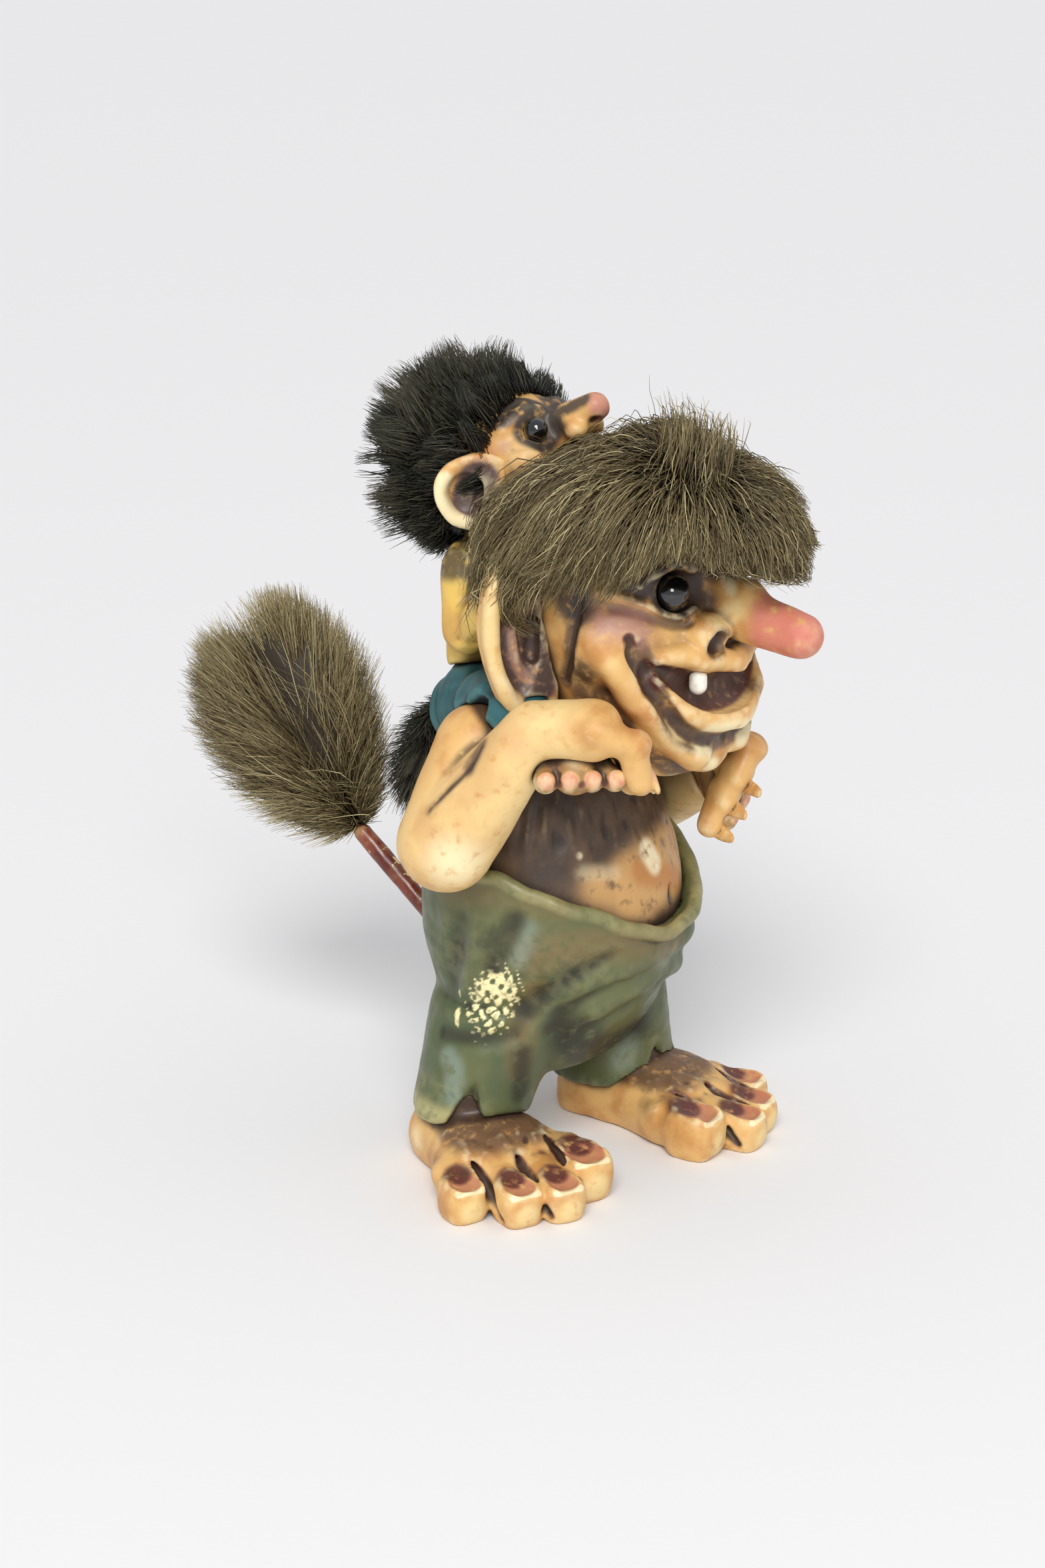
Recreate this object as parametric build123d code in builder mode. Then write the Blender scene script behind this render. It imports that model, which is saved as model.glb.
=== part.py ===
"""Norwegian troll figure: a parent troll carrying a child troll on its shoulders.

The figure faces -Y and its right side is -X. Millimetres, +Z up, soles on Z = 0.
"""

import os
from math import sqrt
from typing import NamedTuple

from build123d import *

# The figure stands off the origin, which lies under the middle of the whole outline:
# the tail reaches further than the nose and the right foot further than the left.
STANCE_X = 3.3
STANCE_Y = -20.5


class Ring(NamedTuple):
    """A level oval: height, centre, half width across and half depth front to back."""

    z: float
    x: float
    y: float
    wide: float
    deep: float


def at(x, y, z):
    """A point given from the middle of the stance."""
    return Vector(x + STANCE_X, y + STANCE_Y, z)


def front_of(ring, x):
    """How far forward a ring's outline lies at this distance from its middle."""
    return ring.y - ring.deep * sqrt(1 - (x / ring.wide) ** 2)


def side_of(ring, y):
    """How far out a ring's outline lies at this place front to back."""
    return ring.wide * sqrt(1 - ((y - ring.y) / ring.deep) ** 2)


# Torso
BELLY = Ring(z=60.0, x=0.0, y=2.0, wide=28.5, deep=26.2)
HIPS = Ring(z=40.0, x=0.0, y=3.0, wide=25.5, deep=22.0)
RIBS = Ring(z=74.0, x=0.0, y=2.5, wide=27.0, deep=23.0)
CHEST = Ring(z=86.0, x=0.0, y=3.5, wide=24.5, deep=19.0)
COLLAR = Ring(z=96.0, x=0.0, y=4.0, wide=18.0, deep=13.0)
NECK_RADIUS = 11.5
NECK_FOOT = at(0, 1.0, 90.0)
NECK_TOP = at(0, -8.0, 110.0)
NAVEL_X = 4.0
NAVEL_RADIUS = 1.6

# Trousers
TROUSER_STAND_OFF = 3.6
WAIST_FRONT_Z = 56.0
WAIST_SIDE_Z = 70.0
WAIST_SCOOP_RADIUS = 40.0
CROTCH_Z = 22.0
RIGHT_THIGH = Ring(z=38.0, x=-15.0, y=4.5, wide=15.5, deep=18.5)
RIGHT_KNEE = Ring(z=25.0, x=-20.5, y=8.0, wide=13.5, deep=14.5)
RIGHT_HEM = Ring(z=12.5, x=-24.5, y=10.0, wide=12.4, deep=13.0)
LEFT_THIGH = Ring(z=38.0, x=15.0, y=4.0, wide=15.5, deep=18.5)
LEFT_KNEE = Ring(z=24.0, x=18.0, y=1.5, wide=14.5, deep=15.5)
LEFT_HEM = Ring(z=9.5, x=19.0, y=-0.5, wide=14.0, deep=15.0)

# Feet, measured from the ankle, which stands in the hem
SOLE_Z = 0.0
ANKLE_RADIUS = 9.3
ANKLE_TOP_Z = 21.0
RIGHT_SPLAY = 30.0
LEFT_SPLAY = 1.0
LEFT_ANKLE_AHEAD = 3.0
HEEL_SETBACK = 5.5
HEEL_RADIUS = 11.0
HEEL_HALF_HEIGHT = 11.0
INSTEP_HALF_WIDTH = 13.0
BALL_REACH = 19.0
BALL_HALF_WIDTH = 17.0
BALL_HALF_HEIGHT = 8.0
TOE_RADIUS = 5.0
BIG_TOE_RADIUS = 6.2
TOE_ROOT_REACH = 16.0
BIG_TOE_REACH = 26.5
SECOND_TOE_REACH = 33.5
THIRD_TOE_REACH = 31.5
LITTLE_TOE_REACH = 24.5
TOE_PITCH = 9.2
SOLE_CUT = 0.4

# Arms; past each bend the limb is thinner by one step
BEND_STEP = 0.2
SHOULDER_OUTSET = 5.5
SHOULDER_RADIUS = 8.8
ELBOW_RADIUS = 10.4
LEFT_ELBOW_RADIUS = 9.6
WRIST_RADIUS = 6.2
PALM_RADIUS = 6.6
FINGER_RADIUS = 3.3
FINGER_PITCH = 5.8
FINGER_COUNT = 3
RIGHT_SHOULDER = at(-CHEST.wide - SHOULDER_OUTSET, 4.0, 97.5)
RIGHT_ELBOW = at(-40.0, 5.0, 79.0)
RIGHT_WRIST = at(-38.0, -15.0, 105.5)
RIGHT_PALM = at(-34.5, -26.0, 106.5)
RIGHT_FINGER_BEND = at(-27.2, -30.0, 102.0)
RIGHT_FINGERTIP = at(-24.7, -31.0, 94.0)
RIGHT_FINGER_ROW = Vector(0.75, 0.6, -0.27)
LEFT_SHOULDER = at(CHEST.wide + SHOULDER_OUTSET, 4.0, 96.5)
LEFT_ELBOW = at(37.5, 0.5, 70.5)
LEFT_WRIST = at(27.5, -19.5, 80.0)
LEFT_PALM = at(22.5, -26.5, 84.5)
LEFT_FINGER_BEND = at(16.5, -32.0, 86.5)
LEFT_FINGERTIP = at(12.5, -31.5, 80.0)
LEFT_FINGER_ROW = Vector(0.3, -0.4, 0.87)

# Head
CHIN = Ring(z=90.0, x=0.0, y=-27.0, wide=8.0, deep=6.0)
JAW = Ring(z=96.5, x=0.0, y=-23.0, wide=17.0, deep=13.5)
MUZZLE = Ring(z=106.0, x=0.0, y=-20.0, wide=23.5, deep=21.0)
CHEEK = Ring(z=118.0, x=0.0, y=-16.5, wide=26.5, deep=22.0)
TEMPLE = Ring(z=131.0, x=0.0, y=-13.0, wide=28.0, deep=23.0)
BROW = Ring(z=145.0, x=0.0, y=-11.0, wide=25.5, deep=21.0)
CROWN = Ring(z=155.0, x=0.0, y=-10.0, wide=17.0, deep=14.0)
CHEEK_BALL_RADIUS = 10.5
CHEEK_BALL = at(19.0, -21.5, 121.5)
NOSE_ROOT_RADIUS = 5.8
NOSE_TIP_RADIUS = 4.9
NOSE_LENGTH = 21.2
NOSE_DROOP = 11.3
NOSE_ROOT = at(0, front_of(CHEEK, 0) + 4.5, 126.5)
NOSE_TIP = NOSE_ROOT + Vector(0, -NOSE_LENGTH, 0).rotate(Axis.X, NOSE_DROOP)
NOSE_WING_RADIUS = 4.2
NOSE_WING = at(8.2, -37.2, 121.8)
MOUTH_RADIUS = 4.2
MOUTH_CORNER_RADIUS = 1.1
MOUTH_BEND = at(8.0, -38.9, 109.8)
MOUTH_CORNER = at(18.6, -32.6, 116.2)
LIP_RADIUS = 2.0
LIP_CORNER_RADIUS = 1.3
UPPER_LIP_MIDDLE = at(0, -39.6, 115.2)
UPPER_LIP_BEND = at(9.8, -36.6, 117.8)
UPPER_LIP_CORNER = at(20.5, -31.0, 118.8)
LOWER_LIP_MIDDLE = at(0, -39.8, 103.2)
LOWER_LIP_BEND = at(14.0, -35.8, 106.6)
LOWER_LIP_CORNER = at(20.0, -31.0, 114.6)
JAW_FOLD_TOP = at(27.0, -25.8, 118.6)
JAW_FOLD_BEND = at(19.6, -30.6, 107.5)
JAW_FOLD_END = at(8.5, -34.6, 96.5)
JAW_FOLD_RADIUS = 2.8
TOOTH_RADIUS = 1.9
TOOTH_ROOT = at(-9.2, -36.4, 113.2)
TOOTH_TIP = at(-9.2, -36.4, 111.4)
EYE_RADIUS = 4.0
EYE_X = 12.5
EYE_SINK = 2.0
EYE = at(EYE_X, front_of(TEMPLE, EYE_X) + EYE_SINK, TEMPLE.z)

# Ears
EAR_WIDTH = 14.0
EAR_HEIGHT = 37.0
EAR_THICKNESS = 4.6
EAR_DISH_DEPTH = 2.6
EAR_RIM = 2.2
EAR_ROOT_SINK = 3.0
EAR_Y = -9.0
EAR_ROOT = at(side_of(CHEEK, EAR_Y) + 1.0, EAR_Y, 122.0)
EAR_SWEEP = 26.0

# Hair
HAIR_CENTRE = at(0, BROW.y - 9.5, BROW.z - 2.5)
HAIR_HALF_WIDTH = 35.0
HAIR_HALF_DEPTH = 34.0
HAIR_HALF_HEIGHT = 19.5
HAIR_TILT = 10.0
HAIRLINE_Z = 136.5
FRINGE_GAP = at(-20.0, -40.0, 133.0)
FRINGE_GAP_HALF_WIDTH = 12.0
FRINGE_GAP_HALF_DEPTH = 14.0
FRINGE_GAP_HALF_HEIGHT = 8.0
SIDE_LOCK = at(29.0, -13.0, 137.0)
SIDE_LOCK_HALF_WIDTH = 8.0
SIDE_LOCK_HALF_DEPTH = 14.0
SIDE_LOCK_HALF_HEIGHT = 11.0

# Tail
STALK_RADIUS = 2.1
STALK_BALL_RADIUS = 3.0
STALK_LENGTH = 33.0
STALK_RISE = 41.0
JOINT_CLEARANCE = 0.35
WIRE_RADIUS = 0.6
WIRE_CLEARANCE = 0.05
TUFT_LEAN = 38.0
TUFT_LENGTH = 57.0
TUFT_HALF_DEPTH = 24.0
TUFT_HALF_WIDTH = 15.0
TUFT_NECK_RADIUS = 4.2

# Child
CHILD_SEAT = at(0, 16.5, 100.0)
CHILD_SEAT_HALF_WIDTH = 18.5
CHILD_SEAT_HALF_DEPTH = 11.0
CHILD_SEAT_HALF_HEIGHT = 13.0
CHILD_THIGH_RADIUS = 10.0
CHILD_KNEE_RADIUS = 8.0
CHILD_ANKLE_RADIUS = 6.2
CHILD_HIP = at(12.0, 16.0, 100.0)
CHILD_KNEE = at(27.0, -1.0, 104.5)
CHILD_RIGHT_ANKLE = at(-31.0, -17.0, 101.0)
CHILD_LEFT_ANKLE = at(26.0, -19.0, 91.0)
CHILD_RIGHT_TOES = at(-36.0, -24.5, 96.0)
CHILD_LEFT_TOES = at(21.0, -29.0, 75.5)
CHILD_RIGHT_TOE_ROW = Vector(0.62, -0.78, 0.0)
CHILD_LEFT_TOE_ROW = Vector(-0.95, -0.3, 0.0)
CHILD_FOOT_RADIUS = 5.0
CHILD_TOE_RADIUS = 2.5
CHILD_TOE_PITCH = 4.7
CHILD_WAIST = Ring(z=106.0, x=0.0, y=17.5, wide=15.5, deep=9.2)
CHILD_RIBS = Ring(z=118.0, x=0.0, y=17.5, wide=15.0, deep=9.2)
CHILD_COLLAR = Ring(z=130.0, x=0.0, y=17.0, wide=12.5, deep=8.5)
CHILD_NAPE = Ring(z=141.0, x=0.0, y=15.0, wide=7.5, deep=6.5)
CHILD_SHOULDER_RADIUS = 6.0
CHILD_ELBOW_RADIUS = 5.4
CHILD_HAND_RADIUS = 4.2
CHILD_SHOULDER = at(13.0, 17.0, 130.5)
CHILD_ELBOW = at(16.5, 15.0, 118.0)
CHILD_HAND = at(24.0, 4.0, 125.0)
CHILD_HEAD = at(0, 13.5, 152.5)
CHILD_HEAD_HALF_WIDTH = 15.5
CHILD_HEAD_HALF_DEPTH = 14.5
CHILD_HEAD_HALF_HEIGHT = 13.5
CHILD_JAW = at(0, 6.5, 146.0)
CHILD_JAW_RADIUS = 9.0
CHILD_NOSE_ROOT = at(0, 2.5, 159.5)
CHILD_NOSE_TIP = at(0, -6.0, 164.6)
CHILD_NOSE_ROOT_RADIUS = 4.6
CHILD_NOSE_TIP_RADIUS = 3.3
CHILD_EYE = at(8.2, 3.2, 160.2)
CHILD_EYE_RADIUS = 2.5
CHILD_EAR_WIDTH = 11.5
CHILD_EAR_HEIGHT = 15.0
CHILD_EAR_THICKNESS = 3.2
CHILD_EAR_DISH_DEPTH = 1.8
CHILD_EAR_RIM = 1.5
CHILD_EAR_ROOT_SINK = 3.0
CHILD_EAR_ROOT = at(15.0, 10.0, 147.5)
CHILD_EAR_SWEEP = 55.0
CHILD_HAIR_CENTRE = at(0, 25.5, 150.5)
CHILD_HAIR_HALF_WIDTH = 17.5
CHILD_HAIR_HALF_DEPTH = 19.0
CHILD_HAIR_HALF_HEIGHT = 21.0
CHILD_STALK_RADIUS = 1.5
CHILD_STALK_BALL_RADIUS = 2.1
CHILD_STALK_LENGTH = 5.0
CHILD_STALK_DROOP = 25.0
CHILD_TUFT_LENGTH = 29.0
CHILD_TUFT_HALF_DEPTH = 7.6
CHILD_TUFT_HALF_WIDTH = 9.0
CHILD_TUFT_DROOP = 74.0


def limb(start, start_radius, end, end_radius):
    """A round limb that tapers from one ball end to the other.

    Its seam is turned by its own direction, so the seams of two limbs at one joint stay apart.
    """
    along = end - start
    reach = along.length
    across = along.cross(Vector(along.Y - 0.37 * reach, along.Z + 0.61 * reach, along.X + 0.23 * reach))
    with BuildPart() as piece:
        with BuildSketch(Plane(origin=start, x_dir=along, z_dir=across)):
            Circle(start_radius)
            with Locations((reach, 0)):
                Circle(end_radius)
            make_hull()
            split(bisect_by=Plane.XZ)
        revolve(axis=Axis(start, along))
    return piece.part


def bulb(centre, half_width, half_depth, half_height, tilt=0.0, turn=0.0):
    """A lump with three half sizes, tilted about X and then turned about Z."""
    with BuildPart() as piece:
        Sphere(1)
        scale(by=(half_width, half_depth, half_height), mode=Mode.REPLACE)
    return piece.part.rotate(Axis.X, tilt).rotate(Axis.Z, turn).moved(Location(centre))


def swelling(rings):
    """A smooth body through level ovals."""
    with BuildPart() as piece:
        for ring in rings:
            with BuildSketch(Plane(origin=at(ring.x, ring.y, ring.z))):
                Ellipse(ring.wide, ring.deep)
        loft()
    return piece.part


def brush(root, lean, length, half_width, half_depth, neck):
    """A fur brush: a neck at the root, fullest past the middle, rounded at the end."""
    along = Vector(0, 1, 0).rotate(Axis.X, 90 - lean)
    with BuildPart() as piece:
        for share, fullness in ((0, 0), (0.2, 0.55), (0.45, 0.93), (0.7, 1), (0.9, 0.72), (1, 0.3)):
            wide = neck + fullness * (half_width - neck)
            deep = neck + fullness * (half_depth - neck)
            with BuildSketch(Plane(origin=root + along * (share * length), x_dir=(1, 0, 0), z_dir=along)):
                Ellipse(wide, deep)
        loft()
    return piece.part


def foot(ankle, splay, inner):
    """A bare foot with four toes; inner is +1 when the big toe lies toward +X."""
    ahead = Vector(0, -1, 0).rotate(Axis.Z, -splay * inner)
    aside = Vector(inner, 0, 0).rotate(Axis.Z, -splay * inner)
    rise = Vector(0, 0, 1)
    spans = (
        (-HEEL_SETBACK - 0.75 * HEEL_RADIUS, 0.62 * HEEL_RADIUS, 0.7 * HEEL_HALF_HEIGHT),
        (-HEEL_SETBACK, HEEL_RADIUS, HEEL_HALF_HEIGHT),
        (0.4 * BALL_REACH, INSTEP_HALF_WIDTH, 0.95 * HEEL_HALF_HEIGHT),
        (BALL_REACH, BALL_HALF_WIDTH, BALL_HALF_HEIGHT),
        (1.25 * BALL_REACH, 0.8 * BALL_HALF_WIDTH, 0.75 * BALL_HALF_HEIGHT),
    )
    reaches = (BIG_TOE_REACH, SECOND_TOE_REACH, THIRD_TOE_REACH, LITTLE_TOE_REACH)
    with BuildPart() as piece:
        for reach, half_width, half_height in spans:
            middle = ankle + ahead * reach + rise * (0.55 * half_height)
            with BuildSketch(Plane(origin=middle, x_dir=aside, z_dir=ahead)):
                Ellipse(half_width, half_height)
        loft()
        for toe, reach in enumerate(reaches):
            radius = BIG_TOE_RADIUS if toe == 0 else TOE_RADIUS
            side = (1.5 - toe) * TOE_PITCH
            root = ankle + ahead * TOE_ROOT_REACH + aside * (0.8 * side) + rise * TOE_RADIUS
            tip = ankle + ahead * reach + aside * side + rise * (radius - SOLE_CUT)
            add(limb(root, 0.9 * radius, tip, radius))
        with BuildSketch(Plane(origin=ankle + rise * BALL_HALF_HEIGHT)):
            Circle(ANKLE_RADIUS)
        extrude(amount=ANKLE_TOP_Z - BALL_HALF_HEIGHT)
        with BuildSketch(Plane(origin=ankle)):
            Rectangle(8 * BALL_REACH, 8 * BALL_REACH)
        extrude(amount=-2 * HEEL_HALF_HEIGHT, mode=Mode.SUBTRACT)
    return piece.part


def ear(root, sweep, side, width, height, thickness, dish, rim, sink):
    """A dished ear standing out from the head; side is +1 on the figure's left."""
    outward = Vector(side, 0, 0).rotate(Axis.Z, side * sweep)
    forward = Vector(0, 0, 1).cross(outward) * -side
    face = Plane(origin=root, x_dir=outward, z_dir=forward)
    half = 0.5 * height * face.y_dir.Z
    with BuildPart() as piece:
        with BuildSketch(face):
            with BuildLine():
                Spline(
                    (-sink, 0.92 * half),
                    (0.55 * width, half),
                    (width, 0.35 * half),
                    (0.86 * width, -0.4 * half),
                    (0.4 * width, -0.92 * half),
                    (-sink, -0.85 * half),
                )
                Line((-sink, -0.85 * half), (-sink, 0.92 * half))
            make_face()
        extrude(amount=0.5 * thickness, both=True)
        bowl = face.from_local_coords(Vector(0.48 * width, 0, 0.5 * thickness))
        add(
            bulb(bowl, 0.5 * width - rim, dish, 0.4 * height - rim, turn=side * sweep),
            mode=Mode.SUBTRACT,
        )
    return piece.part


def fingers(palm, bend, tip, row):
    """Fingers side by side, bent once."""
    with BuildPart() as piece:
        for number in range(FINGER_COUNT):
            shift = row * ((number - 0.5 * (FINGER_COUNT - 1)) * FINGER_PITCH)
            add(limb(palm + shift * 0.7, 1.1 * FINGER_RADIUS, bend + shift, FINGER_RADIUS))
            add(limb(bend + shift, FINGER_RADIUS - BEND_STEP, tip + shift, 0.9 * FINGER_RADIUS))
    return piece.part


def small_foot(ankle, toes, row):
    """The child's foot: a narrow sole from ankle to toes and a row of four toes."""
    with BuildPart() as piece:
        add(limb(ankle, 0.9 * CHILD_ANKLE_RADIUS, ankle + (toes - ankle) * 0.7, CHILD_FOOT_RADIUS))
        for toe in range(4):
            tip = toes + row * ((toe - 1.5) * CHILD_TOE_PITCH)
            root = ankle + (toes - ankle) * 0.5 + row * ((toe - 1.5) * 0.6 * CHILD_TOE_PITCH)
            add(limb(root, 1.2 * CHILD_TOE_RADIUS, tip, CHILD_TOE_RADIUS))
    return piece.part


def mirrored(point):
    """The same point on the figure's right side."""
    return Vector(2 * STANCE_X - point.X, point.Y, point.Z)


# Torso, with the neck that plugs into the head
with BuildPart() as torso:
    add(swelling((HIPS, BELLY, RIBS, CHEST, COLLAR)))
    add(limb(NECK_FOOT, NECK_RADIUS, NECK_TOP, NECK_RADIUS))
    with Locations(at(NAVEL_X, front_of(BELLY, NAVEL_X), BELLY.z)):
        Sphere(NAVEL_RADIUS, mode=Mode.SUBTRACT)
torso.part.label = "torso"

# Feet, with ankle pegs that stand in the trouser legs
with BuildPart() as right_foot:
    add(foot(at(RIGHT_HEM.x, RIGHT_HEM.y, SOLE_Z), RIGHT_SPLAY, 1))
right_foot.part.label = "right_foot"

with BuildPart() as left_foot:
    add(foot(at(LEFT_HEM.x, LEFT_HEM.y - LEFT_ANKLE_AHEAD, SOLE_Z), LEFT_SPLAY, -1))
left_foot.part.label = "left_foot"

# Trousers, sleeved over the torso and over the ankle pegs
waist_back = Ring(RIBS.z, 0.0, RIBS.y, RIBS.wide + TROUSER_STAND_OFF, RIBS.deep + TROUSER_STAND_OFF)
waist = Ring(BELLY.z, 0.0, BELLY.y, BELLY.wide + TROUSER_STAND_OFF, BELLY.deep + TROUSER_STAND_OFF)
seat = Ring(HIPS.z, 0.0, HIPS.y, HIPS.wide + TROUSER_STAND_OFF, HIPS.deep + TROUSER_STAND_OFF)
fork = Ring(CROTCH_Z, 0.0, HIPS.y + 1.5, 0.75 * seat.wide, 0.6 * seat.deep)
tail_root = at(0, seat.y + seat.deep + 1.0, seat.z)
stalk_way = Vector(0, STALK_LENGTH, 0).rotate(Axis.X, STALK_RISE)
stalk_top = tail_root + stalk_way
with BuildPart() as trousers:
    add(swelling((fork, seat, waist, waist_back)))
    add(swelling((RIGHT_HEM, RIGHT_KNEE, RIGHT_THIGH)))
    add(swelling((LEFT_HEM, LEFT_KNEE, LEFT_THIGH)))
    with BuildSketch(Plane(origin=at(0, BELLY.y, WAIST_SIDE_Z))):
        Rectangle(400, 400)
    extrude(amount=80, mode=Mode.SUBTRACT)
    with BuildSketch(Plane(origin=at(0, BELLY.y, WAIST_FRONT_Z + WAIST_SCOOP_RADIUS), z_dir=(0, -1, 0))):
        Circle(WAIST_SCOOP_RADIUS)
    extrude(amount=80, mode=Mode.SUBTRACT)
    add(torso.part, mode=Mode.SUBTRACT)
    add(right_foot.part, mode=Mode.SUBTRACT)
    add(left_foot.part, mode=Mode.SUBTRACT)
    add(
        limb(tail_root, STALK_BALL_RADIUS + JOINT_CLEARANCE, stalk_top, STALK_RADIUS + JOINT_CLEARANCE),
        mode=Mode.SUBTRACT,
    )
trousers.part.label = "trousers"

# Glass eyes
with BuildPart() as right_eye:
    with Locations(mirrored(EYE)):
        Sphere(EYE_RADIUS, rotation=(0, 0, 90))
right_eye.part.label = "right_eye"

with BuildPart() as left_eye:
    with Locations(EYE):
        Sphere(EYE_RADIUS, rotation=(0, 0, 90))
left_eye.part.label = "left_eye"

# Head, with the nose, over the neck
with BuildPart() as head:
    add(swelling((CHIN, JAW, MUZZLE, CHEEK, TEMPLE, BROW, CROWN)))
    with Locations(CHEEK_BALL, mirrored(CHEEK_BALL)):
        Sphere(CHEEK_BALL_RADIUS)
    with Locations(NOSE_WING, mirrored(NOSE_WING)):
        Sphere(NOSE_WING_RADIUS)
    add(limb(NOSE_ROOT, NOSE_ROOT_RADIUS, NOSE_TIP, NOSE_TIP_RADIUS))
    for turned, slimmer in ((mirrored, 0), (Vector, BEND_STEP)):
        jaw_fold = turned(JAW_FOLD_BEND)
        add(limb(turned(JAW_FOLD_TOP), LIP_RADIUS, jaw_fold, JAW_FOLD_RADIUS))
        add(limb(jaw_fold, JAW_FOLD_RADIUS - BEND_STEP, turned(JAW_FOLD_END), JAW_FOLD_RADIUS))
        upper_lip = turned(UPPER_LIP_BEND)
        add(limb(turned(UPPER_LIP_CORNER), LIP_CORNER_RADIUS, upper_lip, LIP_RADIUS))
        add(limb(upper_lip, LIP_RADIUS - BEND_STEP, UPPER_LIP_MIDDLE, LIP_RADIUS - slimmer))
        lower_lip = turned(LOWER_LIP_BEND)
        add(limb(turned(LOWER_LIP_CORNER), LIP_CORNER_RADIUS, lower_lip, LIP_RADIUS))
        add(limb(lower_lip, LIP_RADIUS - BEND_STEP, LOWER_LIP_MIDDLE, LIP_RADIUS - slimmer))
    for turned in (mirrored, Vector):
        add(
            limb(turned(MOUTH_BEND), MOUTH_RADIUS - BEND_STEP, turned(MOUTH_CORNER), MOUTH_CORNER_RADIUS),
            mode=Mode.SUBTRACT,
        )
    add(limb(mirrored(MOUTH_BEND), MOUTH_RADIUS, MOUTH_BEND, MOUTH_RADIUS), mode=Mode.SUBTRACT)
    for neighbour in (torso, right_eye, left_eye):
        add(neighbour.part, mode=Mode.SUBTRACT)
head.part.label = "head"

with BuildPart() as tooth:
    add(limb(TOOTH_ROOT, TOOTH_RADIUS, TOOTH_TIP, TOOTH_RADIUS))
    add(head.part, mode=Mode.SUBTRACT)
tooth.part.label = "tooth"

# Child's feet, held in the parent's hands
with BuildPart() as child_right_foot:
    add(small_foot(CHILD_RIGHT_ANKLE, CHILD_RIGHT_TOES, CHILD_RIGHT_TOE_ROW))
    add(torso.part, mode=Mode.SUBTRACT)
    add(head.part, mode=Mode.SUBTRACT)
child_right_foot.part.label = "child_right_foot"

with BuildPart() as child_left_foot:
    add(small_foot(CHILD_LEFT_ANKLE, CHILD_LEFT_TOES, CHILD_LEFT_TOE_ROW))
    add(torso.part, mode=Mode.SUBTRACT)
    add(head.part, mode=Mode.SUBTRACT)
child_left_foot.part.label = "child_left_foot"

# Arms, glued to the shoulders, with hands round the child's feet
with BuildPart() as right_arm:
    add(limb(RIGHT_SHOULDER, SHOULDER_RADIUS, RIGHT_ELBOW, ELBOW_RADIUS))
    add(limb(RIGHT_ELBOW, ELBOW_RADIUS - BEND_STEP, RIGHT_WRIST, WRIST_RADIUS))
    add(limb(RIGHT_WRIST, WRIST_RADIUS - BEND_STEP, RIGHT_PALM, PALM_RADIUS))
    add(fingers(RIGHT_PALM, RIGHT_FINGER_BEND, RIGHT_FINGERTIP, RIGHT_FINGER_ROW))
    for neighbour in (torso, trousers, head, child_right_foot):
        add(neighbour.part, mode=Mode.SUBTRACT)
right_arm.part.label = "right_arm"

with BuildPart() as left_arm:
    add(limb(LEFT_SHOULDER, SHOULDER_RADIUS, LEFT_ELBOW, LEFT_ELBOW_RADIUS))
    add(limb(LEFT_ELBOW, LEFT_ELBOW_RADIUS - BEND_STEP, LEFT_WRIST, WRIST_RADIUS))
    add(limb(LEFT_WRIST, WRIST_RADIUS - BEND_STEP, LEFT_PALM, PALM_RADIUS))
    add(fingers(LEFT_PALM, LEFT_FINGER_BEND, LEFT_FINGERTIP, LEFT_FINGER_ROW))
    for neighbour in (torso, trousers, head, child_left_foot):
        add(neighbour.part, mode=Mode.SUBTRACT)
left_arm.part.label = "left_arm"

# Child's trousers, astride the parent's neck, over the child's ankles
child_tail_root = CHILD_SEAT + Vector(0, CHILD_SEAT_HALF_DEPTH + 0.5, 0)
child_stalk_way = Vector(0, CHILD_STALK_LENGTH, 0).rotate(Axis.X, -CHILD_STALK_DROOP)
with BuildPart() as child_trousers:
    add(bulb(CHILD_SEAT, CHILD_SEAT_HALF_WIDTH, CHILD_SEAT_HALF_DEPTH, CHILD_SEAT_HALF_HEIGHT))
    add(limb(mirrored(CHILD_HIP), CHILD_THIGH_RADIUS, mirrored(CHILD_KNEE), CHILD_KNEE_RADIUS))
    add(limb(CHILD_HIP, CHILD_THIGH_RADIUS, CHILD_KNEE, CHILD_KNEE_RADIUS))
    add(limb(mirrored(CHILD_KNEE), CHILD_KNEE_RADIUS - BEND_STEP, CHILD_RIGHT_ANKLE, CHILD_ANKLE_RADIUS))
    add(limb(CHILD_KNEE, CHILD_KNEE_RADIUS - BEND_STEP, CHILD_LEFT_ANKLE, CHILD_ANKLE_RADIUS))
    for neighbour in (torso, head, right_arm, left_arm, child_right_foot, child_left_foot):
        add(neighbour.part, mode=Mode.SUBTRACT)
    add(
        limb(
            child_tail_root,
            CHILD_STALK_BALL_RADIUS + JOINT_CLEARANCE,
            child_tail_root + child_stalk_way,
            CHILD_STALK_RADIUS + JOINT_CLEARANCE,
        ),
        mode=Mode.SUBTRACT,
    )
child_trousers.part.label = "child_trousers"

# Child's torso with both arms, hands on the back of the parent's head
with BuildPart() as child_torso:
    add(swelling((CHILD_WAIST, CHILD_RIBS, CHILD_COLLAR, CHILD_NAPE)))
    for turned in (mirrored, Vector):
        add(limb(turned(CHILD_SHOULDER), CHILD_SHOULDER_RADIUS, turned(CHILD_ELBOW), CHILD_ELBOW_RADIUS))
        add(limb(turned(CHILD_ELBOW), CHILD_ELBOW_RADIUS - BEND_STEP, turned(CHILD_HAND), CHILD_HAND_RADIUS))
    for neighbour in (child_trousers, head, right_arm, left_arm, torso):
        add(neighbour.part, mode=Mode.SUBTRACT)
child_torso.part.label = "child_torso"

with BuildPart() as child_right_eye:
    with Locations(mirrored(CHILD_EYE)):
        Sphere(CHILD_EYE_RADIUS, rotation=(0, 0, 90))
child_right_eye.part.label = "child_right_eye"

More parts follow.
